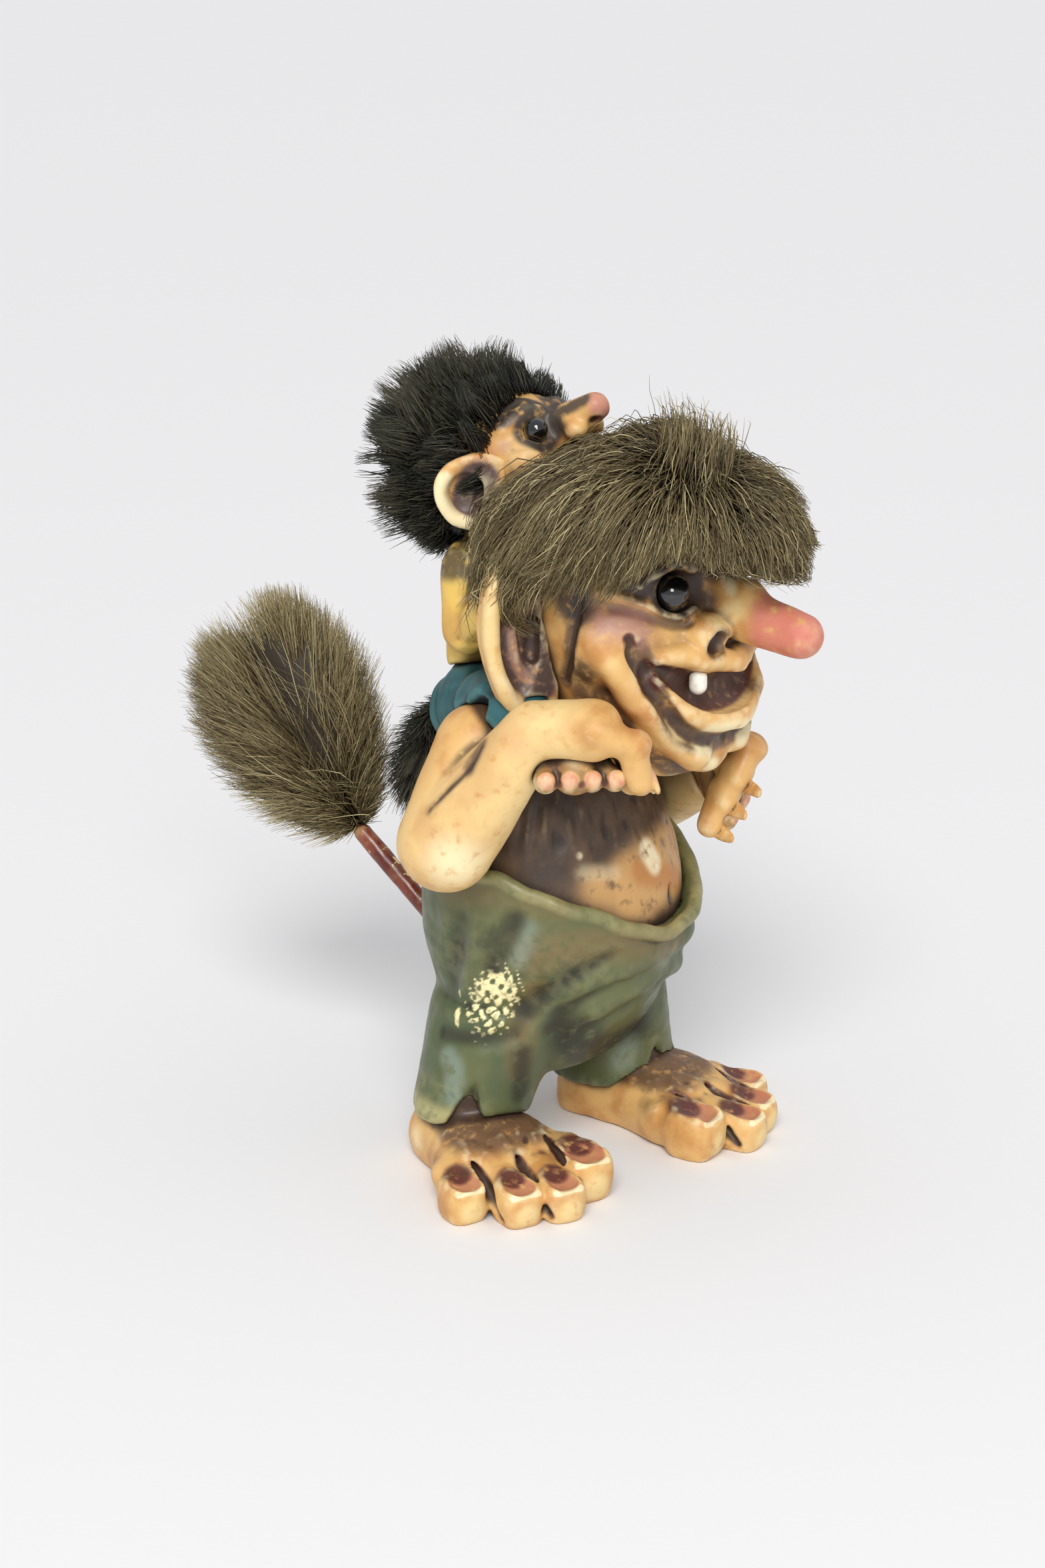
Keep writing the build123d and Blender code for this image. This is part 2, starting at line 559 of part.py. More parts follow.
with BuildPart() as child_left_eye:
    with Locations(CHILD_EYE):
        Sphere(CHILD_EYE_RADIUS, rotation=(0, 0, 90))
child_left_eye.part.label = "child_left_eye"

# Child's head, with its upturned nose
with BuildPart() as child_head:
    add(bulb(CHILD_HEAD, CHILD_HEAD_HALF_WIDTH, CHILD_HEAD_HALF_DEPTH, CHILD_HEAD_HALF_HEIGHT))
    with Locations(CHILD_JAW):
        Sphere(CHILD_JAW_RADIUS)
    add(limb(CHILD_NOSE_ROOT, CHILD_NOSE_ROOT_RADIUS, CHILD_NOSE_TIP, CHILD_NOSE_TIP_RADIUS))
    for neighbour in (child_torso, head, child_right_eye, child_left_eye):
        add(neighbour.part, mode=Mode.SUBTRACT)
child_head.part.label = "child_head"

# Ears
ear_form = (EAR_WIDTH, EAR_HEIGHT, EAR_THICKNESS, EAR_DISH_DEPTH, EAR_RIM, EAR_ROOT_SINK)
with BuildPart() as right_ear:
    add(ear(mirrored(EAR_ROOT), EAR_SWEEP, -1, *ear_form))
    for neighbour in (head, right_arm, child_trousers, child_torso):
        add(neighbour.part, mode=Mode.SUBTRACT)
right_ear.part.label = "right_ear"

with BuildPart() as left_ear:
    add(ear(EAR_ROOT, EAR_SWEEP, 1, *ear_form))
    for neighbour in (head, left_arm, child_trousers, child_torso):
        add(neighbour.part, mode=Mode.SUBTRACT)
left_ear.part.label = "left_ear"

child_ear_form = (
    CHILD_EAR_WIDTH,
    CHILD_EAR_HEIGHT,
    CHILD_EAR_THICKNESS,
    CHILD_EAR_DISH_DEPTH,
    CHILD_EAR_RIM,
    CHILD_EAR_ROOT_SINK,
)
with BuildPart() as child_right_ear:
    add(ear(mirrored(CHILD_EAR_ROOT), CHILD_EAR_SWEEP, -1, *child_ear_form))
    for neighbour in (child_head, child_torso, head):
        add(neighbour.part, mode=Mode.SUBTRACT)
child_right_ear.part.label = "child_right_ear"

with BuildPart() as child_left_ear:
    add(ear(CHILD_EAR_ROOT, CHILD_EAR_SWEEP, 1, *child_ear_form))
    for neighbour in (child_head, child_torso, head):
        add(neighbour.part, mode=Mode.SUBTRACT)
child_left_ear.part.label = "child_left_ear"

# Fur wigs
with BuildPart() as hair:
    add(bulb(HAIR_CENTRE, HAIR_HALF_WIDTH, HAIR_HALF_DEPTH, HAIR_HALF_HEIGHT, tilt=HAIR_TILT))
    with BuildSketch(Plane(origin=at(0, 0, HAIRLINE_Z))):
        Rectangle(400, 400)
    extrude(amount=-60, mode=Mode.SUBTRACT)
    add(
        bulb(FRINGE_GAP, FRINGE_GAP_HALF_WIDTH, FRINGE_GAP_HALF_DEPTH, FRINGE_GAP_HALF_HEIGHT),
        mode=Mode.SUBTRACT,
    )
    for lock in (mirrored(SIDE_LOCK), SIDE_LOCK):
        add(bulb(lock, SIDE_LOCK_HALF_WIDTH, SIDE_LOCK_HALF_DEPTH, SIDE_LOCK_HALF_HEIGHT))
    for neighbour in (head, right_ear, left_ear, right_eye, left_eye, child_torso, child_trousers):
        add(neighbour.part, mode=Mode.SUBTRACT)
    for neighbour in (child_head, child_right_ear, child_left_ear, child_right_eye, child_left_eye):
        add(neighbour.part, mode=Mode.SUBTRACT)
hair.part.label = "hair"

with BuildPart() as child_hair:
    add(bulb(CHILD_HAIR_CENTRE, CHILD_HAIR_HALF_WIDTH, CHILD_HAIR_HALF_DEPTH, CHILD_HAIR_HALF_HEIGHT))
    for neighbour in (child_head, child_right_ear, child_left_ear, child_torso, child_trousers, hair, head):
        add(neighbour.part, mode=Mode.SUBTRACT)
child_hair.part.label = "child_hair"

# Tail: a sleeve with a wire core, and a fur brush that turns on the sleeve's upper end
with BuildPart() as tail_stalk:
    with Locations(tail_root):
        Sphere(STALK_BALL_RADIUS)
    add(limb(tail_root, STALK_RADIUS, stalk_top, STALK_RADIUS))
    with BuildSketch(Plane(origin=tail_root, z_dir=stalk_way)):
        Circle(WIRE_RADIUS + WIRE_CLEARANCE)
    extrude(amount=STALK_LENGTH, mode=Mode.SUBTRACT)
tail_stalk.part.label = "tail_stalk"

with BuildPart() as tail_wire:
    with BuildSketch(Plane(origin=tail_root, z_dir=stalk_way)):
        Circle(WIRE_RADIUS)
    extrude(amount=STALK_LENGTH)
tail_wire.part.label = "tail_wire"

with BuildPart() as tail_tuft:
    add(brush(stalk_top, TUFT_LEAN, TUFT_LENGTH, TUFT_HALF_WIDTH, TUFT_HALF_DEPTH, TUFT_NECK_RADIUS))
    with Locations(stalk_top):
        Sphere(STALK_RADIUS + JOINT_CLEARANCE, mode=Mode.SUBTRACT)
tail_tuft.part.label = "tail_tuft"

# Child's tail
child_stalk_end = child_tail_root + child_stalk_way
with BuildPart() as child_tail_tuft:
    add(
        brush(
            child_stalk_end,
            90 + CHILD_TUFT_DROOP,
            CHILD_TUFT_LENGTH,
            CHILD_TUFT_HALF_WIDTH,
            CHILD_TUFT_HALF_DEPTH,
            CHILD_STALK_RADIUS,
        )
    )
child_tail_tuft.part.label = "child_tail_tuft"

with BuildPart() as child_tail_stalk:
    with Locations(child_tail_root):
        Sphere(CHILD_STALK_BALL_RADIUS)
    add(limb(child_tail_root, CHILD_STALK_RADIUS, child_stalk_end, CHILD_STALK_RADIUS))
    add(child_tail_tuft.part, mode=Mode.SUBTRACT)
child_tail_stalk.part.label = "child_tail_stalk"

os.makedirs("parts", exist_ok=True)
export_step(torso.part, "parts/torso.step")
export_step(trousers.part, "parts/trousers.step")
export_step(right_foot.part, "parts/right_foot.step")
export_step(left_foot.part, "parts/left_foot.step")
export_step(right_arm.part, "parts/right_arm.step")
export_step(left_arm.part, "parts/left_arm.step")
export_step(head.part, "parts/head.step")
export_step(right_ear.part, "parts/right_ear.step")
export_step(left_ear.part, "parts/left_ear.step")
export_step(right_eye.part, "parts/right_eye.step")
export_step(left_eye.part, "parts/left_eye.step")
export_step(tooth.part, "parts/tooth.step")
export_step(hair.part, "parts/hair.step")
export_step(child_trousers.part, "parts/child_trousers.step")
export_step(child_right_foot.part, "parts/child_right_foot.step")
export_step(child_left_foot.part, "parts/child_left_foot.step")
export_step(child_torso.part, "parts/child_torso.step")
export_step(child_head.part, "parts/child_head.step")
export_step(child_right_ear.part, "parts/child_right_ear.step")
export_step(child_left_ear.part, "parts/child_left_ear.step")
export_step(child_right_eye.part, "parts/child_right_eye.step")
export_step(child_left_eye.part, "parts/child_left_eye.step")
export_step(child_hair.part, "parts/child_hair.step")
export_step(tail_stalk.part, "parts/tail_stalk.step")
export_step(tail_wire.part, "parts/tail_wire.step")
export_step(tail_tuft.part, "parts/tail_tuft.step")
export_step(child_tail_stalk.part, "parts/child_tail_stalk.step")
export_step(child_tail_tuft.part, "parts/child_tail_tuft.step")
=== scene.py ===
"""Looks of the troll figure: painted rubber sculpted on a distance grid, glass eyes and strands of fur.

Sculpting works in figure millimetres: the figure faces -Y, its right side is -X, its soles are on Z = 0.
"""

import math

import bpy
import numpy as np
import openvdb
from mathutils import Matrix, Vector


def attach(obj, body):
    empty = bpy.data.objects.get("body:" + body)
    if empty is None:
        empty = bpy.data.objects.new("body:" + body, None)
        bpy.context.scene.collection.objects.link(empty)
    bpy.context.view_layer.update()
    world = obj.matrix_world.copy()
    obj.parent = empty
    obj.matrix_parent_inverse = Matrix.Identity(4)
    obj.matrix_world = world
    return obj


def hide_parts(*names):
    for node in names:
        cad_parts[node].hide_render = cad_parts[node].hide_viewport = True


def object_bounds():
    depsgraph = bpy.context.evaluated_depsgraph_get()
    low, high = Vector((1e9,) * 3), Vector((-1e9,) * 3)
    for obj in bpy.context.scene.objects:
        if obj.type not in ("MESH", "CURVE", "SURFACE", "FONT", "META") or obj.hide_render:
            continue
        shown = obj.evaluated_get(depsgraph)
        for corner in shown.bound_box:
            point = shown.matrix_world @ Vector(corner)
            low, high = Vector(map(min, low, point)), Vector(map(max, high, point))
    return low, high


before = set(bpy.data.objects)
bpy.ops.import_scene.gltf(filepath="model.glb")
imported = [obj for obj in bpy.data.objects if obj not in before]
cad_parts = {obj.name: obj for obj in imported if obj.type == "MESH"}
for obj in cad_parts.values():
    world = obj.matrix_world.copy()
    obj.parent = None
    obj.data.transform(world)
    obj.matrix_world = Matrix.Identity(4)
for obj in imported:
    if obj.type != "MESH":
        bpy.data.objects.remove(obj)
CAD_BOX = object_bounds()

MM = 0.001
# Where the figure stands in the shared frame, in millimetres
STANCE = np.array((3.3, -20.5, 0.0))
FUR_NODES = ("hair", "child_hair", "tail_tuft", "child_tail_tuft")
# Grid steps on both sides of a surface within which distances are kept
BAND = 14
# Millimetres of grid round a solid, and round one that fur grows from
MARGIN = 4.0
FUR_MARGIN = 11.0
CURVE_STEPS = 4
SNAP_STEPS = 6
SPLINE_GAIN = 2.2
# How far round a place the wash and the rub of the paint look, in millimetres
RELIEF_REACH = 0.8
SWELL_REACH = 2.2


def rgb(red, green, blue):
    """A screen colour of 0 to 255 as linear light."""
    levels = np.array((red, green, blue)) / 255
    linear = np.where(levels <= 0.04045, levels / 12.92, ((levels + 0.055) / 1.055) ** 2.4)
    return (*linear, 1.0)


def unit(vectors):
    """Vectors of length one."""
    vectors = np.asarray(vectors, float)
    return vectors / np.maximum(np.linalg.norm(vectors, axis=-1, keepdims=True), 1e-9)


def smooth_step(low, high, values):
    """0 below low, 1 above high, with an easy turn between."""
    share = np.clip((values - low) / (high - low), 0, 1)
    return share * share * (3 - 2 * share)


def mirrored(points):
    """The same points on the figure's other side."""
    return [(-x, y, z) for x, y, z in points]


def curve(values):
    """A smooth run of rows through the given rows."""
    values = np.asarray(values, float)
    if len(values) < 3:
        return values
    ends = np.concatenate([2 * values[:1] - values[1:2], values, 2 * values[-1:] - values[-2:-1]])
    before, start, stop, after = ends[:-3], ends[1:-2], ends[2:-1], ends[3:]
    rows = []
    for t in np.arange(CURVE_STEPS) / CURVE_STEPS:
        bend = 2 * before - 5 * start + 4 * stop - after
        twist = 3 * start - before - 3 * stop + after
        rows.append(0.5 * (2 * start + (stop - before) * t + bend * t**2 + twist * t**3))
    inner = np.stack(rows, axis=1).reshape(-1, *values.shape[1:])
    return np.concatenate([inner, values[-1:]])


def node_mesh(name):
    """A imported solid's points, in figure millimetres, and its triangles."""
    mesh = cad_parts[name].data
    points = np.empty(len(mesh.vertices) * 3, np.float32)
    mesh.vertices.foreach_get("co", points)
    mesh.calc_loop_triangles()
    triangles = np.empty(len(mesh.loop_triangles) * 3, np.int32)
    mesh.loop_triangles.foreach_get("vertices", triangles)
    return points.reshape(-1, 3) / MM - STANCE, triangles.reshape(-1, 3)


def spline_rows(count, cell):
    """Weights that spread a coarse row of values smoothly over count places, cell places apart."""
    places = np.arange(count) / cell
    first = places.astype(int)
    t = places - first
    rows = np.zeros((count, first[-1] + 4), np.float32)
    parts = ((1 - t) ** 3, 3 * t**3 - 6 * t**2 + 4, -3 * t**3 + 3 * t**2 + 3 * t + 1, t**3)
    for step, part in enumerate(parts):
        rows[np.arange(count), first + step] = part / 6
    return rows


def lumps(shape, cells, seed):
    """Smooth random lumps over a grid, about -1 to 1, with a size in grid steps along each axis."""
    rows = [spline_rows(count, cell) for count, cell in zip(shape, cells)]
    values = np.random.default_rng(seed).uniform(-1, 1, [r.shape[1] for r in rows]).astype(np.float32)
    for axis, weights in enumerate(rows):
        values = np.moveaxis(np.tensordot(weights, values, (1, axis)), 0, axis)
    return values * SPLINE_GAIN


def box_blur(values, reach):
    """The mean over a cube reaching this many grid steps each way, twice over for an even fall-off."""
    for axis in (0, 1, 2, 0, 1, 2):
        padding = [(0, 0)] * 3
        padding[axis] = (reach + 1, reach)
        total = np.cumsum(np.pad(values, padding, mode="edge"), axis=axis, dtype=np.float64)
        span = values.shape[axis]
        upper = np.take(total, np.arange(2 * reach + 1, 2 * reach + 1 + span), axis=axis)
        lower = np.take(total, np.arange(span), axis=axis)
        values = ((upper - lower) / (2 * reach + 1)).astype(np.float32)
    return values


def soft_min(first, second, blend):
    """The lesser of two distances, rounded where they meet."""
    near = np.maximum(blend - np.abs(first - second), 0) / blend
    return np.minimum(first, second) - near * near * blend / 4


class Clay:
    """A solid held as distances on a grid, in figure millimetres: negative inside."""

    def __init__(self, node, voxel, margin=MARGIN):
        points, _ = node_mesh(node)
        self.voxel = voxel
        self.low = np.floor((points.min(0) - margin) / voxel).astype(int)
        shape = np.ceil((points.max(0) + margin) / voxel).astype(int) - self.low + 1
        self.field = self.distances(node, shape)

    def distances(self, node, shape=None):
        """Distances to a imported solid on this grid."""
        points, triangles = node_mesh(node)
        grid = openvdb.FloatGrid.createLevelSetFromPolygons(
            points,
            triangles=triangles,
            transform=openvdb.createLinearTransform(self.voxel),
            halfWidth=BAND,
        )
        values = np.empty(self.field.shape if shape is None else tuple(shape), np.float32)
        grid.copyToArray(values, ijk=tuple(int(v) for v in self.low))
        return values

    def axes(self, box=None):
        """The grid's coordinates along X, Y and Z, whole or within a box of slices."""
        box = box or tuple(slice(0, count) for count in self.field.shape)
        x, y, z = ((np.arange(s.start, s.stop) + self.low[i]) * self.voxel for i, s in enumerate(box))
        return x[:, None, None], y[None, :, None], z[None, None, :]

    def near(self, points, reach):
        """The box of slices round some points."""
        points = np.asarray(points, float)
        low = np.floor((points.min(0) - reach) / self.voxel).astype(int) - self.low
        high = np.ceil((points.max(0) + reach) / self.voxel).astype(int) - self.low + 1
        return tuple(slice(max(0, a), max(1, min(b, n))) for a, b, n in zip(low, high, self.field.shape))

    def sample(self, values, points):
        """Values of a grid at points between its places."""
        place = np.asarray(points, float) / self.voxel - self.low
        place = np.clip(place, 0, np.array(values.shape) - 1.001)
        first = place.astype(int)
        t = place - first
        total = 0
        for corner in np.ndindex(2, 2, 2):
            share = np.prod(np.where(corner, t, 1 - t), axis=-1)
            i, j, k = (first + corner).T
            total = total + share * values[i, j, k]
        return total

    def slope(self, points, values=None, step=0.6):
        """The way in which a grid's values rise at points: the way out of the surface if none are given."""
        values = self.field if values is None else values
        points = np.asarray(points, float)
        turned = [
            self.sample(values, points + step * axis) - self.sample(values, points - step * axis)
            for axis in np.eye(3)
        ]
        return unit(np.stack(turned, axis=-1))

    def snap(self, points, lift=0.0):
        """The nearest points on the surface, raised or sunk by lift."""
        points = np.array(points, float)
        for _ in range(SNAP_STEPS):
            points -= self.slope(points) * self.sample(self.field, points)[:, None]
        return points + self.slope(points) * np.reshape(lift, (-1, 1))

    def merge(self, box, shape, blend, cut):
        """Joins a shape on, or cuts it out, with a rounded edge."""
        if cut:
            self.field[box] = -soft_min(-self.field[box], shape, blend)
        else:
            self.field[box] = soft_min(self.field[box], shape, blend)

    def ridge(self, path, radii, blend=1.5, lift=0.0, snap=True, cut=False):
        """A raised roll along a smooth path over the surface."""
        radii = np.broadcast_to(np.asarray(radii, float), len(path))
        path, radii = curve(path), curve(radii)
        path = self.snap(path, lift) if snap else path
        reach = radii.max() + 2 * blend + 1
        whole = self.near(path, reach)
        shape = np.full([s.stop - s.start for s in whole], 1e3, np.float32)
        for a, b, r0, r1 in zip(path[:-1], path[1:], radii[:-1], radii[1:]):
            box = self.near([a, b], reach)
            x, y, z = self.axes(box)
            way = b - a
            share = (x - a[0]) * way[0] + (y - a[1]) * way[1] + (z - a[2]) * way[2]
            share = np.clip(share / max(way @ way, 1e-9), 0, 1)
            far = (x - a[0] - share * way[0]) ** 2
            far = far + (y - a[1] - share * way[1]) ** 2 + (z - a[2] - share * way[2]) ** 2
            part = tuple(slice(s.start - w.start, s.stop - w.start) for s, w in zip(box, whole))
            shape[part] = np.minimum(shape[part], np.sqrt(far) - (r0 + (r1 - r0) * share))
        self.merge(whole, shape, blend, cut)

    def groove(self, path, radii, blend=0.8, lift=0.0, snap=True):
        """A furrow along a smooth path over the surface."""
        self.ridge(path, radii, blend, lift, snap, cut=True)

    def crease(self, path, wide, depth, blend=1.5):
        """A shallow furrow, wide and depth in millimetres."""
        radius = (wide**2 / 4 + depth**2) / (2 * depth)
        self.groove(path, radius, blend, lift=radius - depth)

    def twice(self, carve, path, *values, **options):
        """Carves along a path and along its mirror image."""
        for side in (path, mirrored(path)):
            carve(side, *values, **options)

    def lump(self, centre, half_sizes, turn=np.eye(3), blend=1.5, cut=False, square=2.0):
        """An egg shape with three half sizes along the rows of turn; square above 2 flattens its sides."""
        half_sizes = np.asarray(half_sizes, float)
        box = self.near([centre], half_sizes.max() * 1.3 + 2 * blend + 1)
        x, y, z = self.axes(box)
        far = [(x - centre[0]) * row[0] + (y - centre[1]) * row[1] + (z - centre[2]) * row[2] for row in turn]
        shares = [np.abs(f) / h + 1e-6 for f, h in zip(far, half_sizes)]
        share = sum(s**square for s in shares) ** (1 / square)
        steep = np.sqrt(sum((s ** (square - 1) / h) ** 2 for s, h in zip(shares, half_sizes)))
        shape = (share - 1) * share ** (square - 1) / np.maximum(steep, 1e-6)
        self.merge(box, shape.astype(np.float32), blend, cut)

    def shave(self, point, way, blend):
        """Cuts off what lies beyond a plane."""
        beyond = sum((axis - p) * w for axis, p, w in zip(self.axes(), point, way))
        self.merge((slice(None),) * 3, -beyond.astype(np.float32), blend, cut=True)

    def blurred(self, reach):
        """The distances evened out over reach, in millimetres."""
        return box_blur(self.field, max(1, round(reach / self.voxel)))

    def soften(self, reach):
        """Rounds every edge; reach is in millimetres."""
        self.field = self.blurred(reach)

    def roughen(self, depth, sizes, seed, mask=1.0):
        """Uneven hand-made surface; sizes are the lumps' sizes along X, Y and Z in millimetres."""
        cells = [size / self.voxel for size in np.broadcast_to(sizes, 3)]
        self.field += depth * mask * lumps(self.field.shape, cells, seed)

    def mesh(self, name):
        """The surface as a smooth-shaded object, with its hollows and ridges kept for painting."""
        grid = openvdb.FloatGrid(BAND * self.voxel)
        grid.copyFromArray(self.field, ijk=tuple(int(v) for v in self.low))
        grid.transform = openvdb.createLinearTransform(self.voxel)
        points, quads = grid.convertToQuads(isovalue=0.0)
        piece = new_piece(name, points, quads)
        for kind, reach in (("relief", RELIEF_REACH), ("swell", SWELL_REACH)):
            write(piece, kind, self.sample(self.blurred(reach), points))
        write(piece, "crowd", CROWD.sample(CROWD.field, points))
        return piece, points


class Crowd(Clay):
    """How closely the solids stand round each place: 0 on open ground, towards 1 in creases."""

    def __init__(self, voxel, reach):
        self.voxel = voxel
        corners = np.array(CAD_BOX) / MM - STANCE
        self.low = np.floor((corners[0] - MARGIN) / voxel).astype(int)
        shape = np.ceil((corners[1] + MARGIN) / voxel).astype(int) - self.low + 1
        self.solid = np.full(tuple(shape), BAND * voxel, np.float32)
        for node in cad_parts:
            if node not in FUR_NODES:
                self.solid = np.minimum(self.solid, self.distances(node, shape))
        filled = np.clip(0.5 - self.solid / voxel, 0, 1)
        self.field = 2 * box_blur(filled, round(reach / voxel)) - 1


def link(name, data):
    """A new object in the scene."""
    made = bpy.data.objects.new(name, data)
    bpy.context.scene.collection.objects.link(made)
    return made


def new_piece(name, points, faces):
    """An object from figure-millimetre points and faces that all have as many corners."""
    mesh = bpy.data.meshes.new(name)
    points = ((np.asarray(points) + STANCE) * MM).astype(np.float32)
    faces = np.asarray(faces, np.int32)
    sides = faces.shape[1]
    mesh.vertices.add(len(points))
    mesh.vertices.foreach_set("co", points.ravel())
    mesh.loops.add(faces.size)
    mesh.loops.foreach_set("vertex_index", faces.ravel())
    mesh.polygons.add(len(faces))
    mesh.polygons.foreach_set("loop_start", np.arange(0, faces.size, sides, dtype=np.int32))
    mesh.update(calc_edges=True)
    mesh.validate()
    mesh.polygons.foreach_set("use_smooth", np.ones(len(mesh.polygons), bool))
    return link(name, mesh)


def write(piece, name, values):
    """Keeps one number for each point of a piece, for its material to read."""
    attribute = piece.data.attributes.new(name, "FLOAT", "POINT")
    attribute.data.foreach_set("value", np.asarray(values, np.float32))


def place(piece, body, slot, material, *nodes):
    """Gives a piece its finish and its body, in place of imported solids."""
    piece.data.materials.append(material)
    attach(piece, body)
    if nodes:
        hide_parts(*nodes)


def spot(points, centre, reach, soft=0.5):
    """1 near a place, fading to 0 at reach; centre may be one point or a path."""
    centre = curve(np.atleast_2d(centre))
    far = np.linalg.norm(points - centre[0], axis=1)
    for a, b in zip(centre[:-1], centre[1:]):
        way = b - a
        share = np.clip((points - a) @ way / max(way @ way, 1e-9), 0, 1)
        far = np.minimum(far, np.linalg.norm(points - a - share[:, None] * way, axis=1))
    return 1 - smooth_step(reach * (1 - soft), reach, far)


def most(*masks):
    """The strongest of several masks at each point."""
    return np.maximum.reduce(masks)


def spots(points, *rows):
    """The strongest of several spots; each row has a strength, a place or path, a reach and a softness."""
    return most(*(strength * spot(points, centre, reach, soft) for strength, centre, reach, soft in rows))


class Paint:
    """A material built coat by coat, from the bottom coat up."""

    def __init__(self, name, colour, roughness):
        self.material = bpy.data.materials.new(name)
        self.material.use_nodes = True
        self.nodes = self.material.node_tree.nodes
        self.links = self.material.node_tree.links
        self.shader = self.nodes["Principled BSDF"]
        self.shader.inputs["Roughness"].default_value = roughness
        self.shader.inputs["Base Color"].default_value = colour
        self.place = self.add("ShaderNodeTexCoord").outputs["Object"]
        self.colour = colour

    def add(self, kind, **inputs):
        """A new node, with values or links for its inputs by name."""
        node = self.nodes.new(kind)
        for name, value in inputs.items():
            self.feed(node.inputs[name.replace("_", " ")], value)
        return node

    def feed(self, socket, value):
        """Sets a socket to a value or links an output to it."""
        if isinstance(value, bpy.types.NodeSocket):
            self.links.new(value, socket)
        else:
            socket.default_value = value

    def noise(self, size, detail=3.0, stretch=(1, 1, 1)):
        """Cloudy noise of 0 to 1 whose lumps are about size millimetres."""
        scale = tuple(share / (size * MM) for share in stretch)
        scaled = self.add("ShaderNodeMapping", Vector=self.place, Scale=scale)
        node = self.add("ShaderNodeTexNoise", Vector=scaled.outputs[0], Scale=1.0, Detail=detail)
        return node.outputs["Fac"]

    def attribute(self, name):
        """A number kept at each point."""
        node = self.add("ShaderNodeAttribute")
        node.attribute_name = name
        return node.outputs["Fac"]

    def ramp(self, value, ends, results):
        """A node that takes value from between two ends to between two results."""
        (low, high), (first, last) = ends, results
        return self.add(
            "ShaderNodeMapRange", Value=value, From_Min=low, From_Max=high, To_Min=first, To_Max=last
        )

    def span(self, value, low, high, top=1.0):
        """0 where value is at low, top where it is at high, with an easy turn between."""
        node = self.ramp(value, (low, high), (0.0, top))
        node.interpolation_type = "SMOOTHSTEP"
        return node.outputs[0]

    def math(self, operation, first, second):
        """Plain arithmetic on two values."""
        node = self.nodes.new("ShaderNodeMath")
        node.operation = operation
        self.feed(node.inputs[0], first)
        self.feed(node.inputs[1], second)
        return node.outputs[0]

    def coat(self, mask, colour):
        """A new coat over what is there, where mask is 1."""
        node = self.nodes.new("ShaderNodeMix")
        node.data_type = "RGBA"
        self.feed(node.inputs["Factor"], mask)
        self.feed(node.inputs["A"], self.colour)
        self.feed(node.inputs["B"], colour)
        self.colour = node.outputs["Result"]

    def bump(self, height, depth, strength):
        """A fine relief, depth in millimetres."""
        node = self.add("ShaderNodeBump", Height=height, Distance=depth * MM, Strength=strength)
        self.links.new(node.outputs[0], self.shader.inputs["Normal"])

    def done(self, roughness=None):
        """Links the top coat, and a roughness that varies, to the shader."""
        self.links.new(self.colour, self.shader.inputs["Base Color"])
        if roughness is not None:
            self.links.new(roughness, self.shader.inputs["Roughness"])
        return self.material


def uneven_gloss(paint, dull, shiny):
    """Roughness between two values, in soft patches."""
    return paint.ramp(paint.noise(5, detail=4), (0.3, 0.7), (shiny, dull)).outputs[0]


# The masks that each material reads
COAT_NAMES = {}


def rubber(name, base, second, wash, light, coats=(), rub=0.4, chips=0.0, dull=0.6, shiny=0.36, cloud=8):
    """Hand-painted rubber: two mottled tones, named coats, dark wash in hollows, light rub on ridges."""
    paint = Paint(name, base, dull)
    paint.coat(paint.span(paint.noise(cloud, detail=5), 0.40, 0.66), second)
    COAT_NAMES[paint.material.name] = [attribute for attribute, _, _ in coats]
    for attribute, colour, strength in coats:
        broken = paint.span(paint.noise(2.4, detail=5), 0.18, 0.5)
        mask = paint.math("MULTIPLY", paint.span(paint.attribute(attribute), 0.0, 1.0, strength), broken)
        paint.coat(mask, colour)
    hollow = paint.span(paint.attribute("relief"), -0.03, -0.2)
    deep = paint.span(paint.attribute("crowd"), 0.10, 0.5)
    broad = paint.span(paint.attribute("swell"), 0.0, -0.6, 0.85)
    ragged = paint.span(paint.noise(1.8, detail=5), 0.22, 0.5)
    worn = paint.math("MAXIMUM", paint.math("MAXIMUM", hollow, deep), paint.math("MULTIPLY", broad, ragged))
    paint.coat(paint.math("MULTIPLY", worn, 0.92), wash)
    raised = paint.span(paint.attribute("relief"), 0.08, 0.26)
    patchy = paint.span(paint.noise(2.6, detail=6), 0.36, 0.62)
    paint.coat(paint.math("MULTIPLY", paint.math("MULTIPLY", raised, patchy), rub), light)
    if chips:
        paint.coat(paint.span(paint.noise(2.6, detail=4), 0.62, 0.66, chips), light)
    paint.coat(paint.span(paint.noise(0.5, detail=2), 0.68, 0.8, 0.22), wash)
    paint.bump(paint.noise(0.9, detail=4), 0.10, 0.5)
    return paint.done(uneven_gloss(paint, dull, shiny))


CROWD = Crowd(voxel=1.0, reach=2.0)

CREAM = rgb(248, 232, 186)
UMBER = rgb(62, 42, 31)

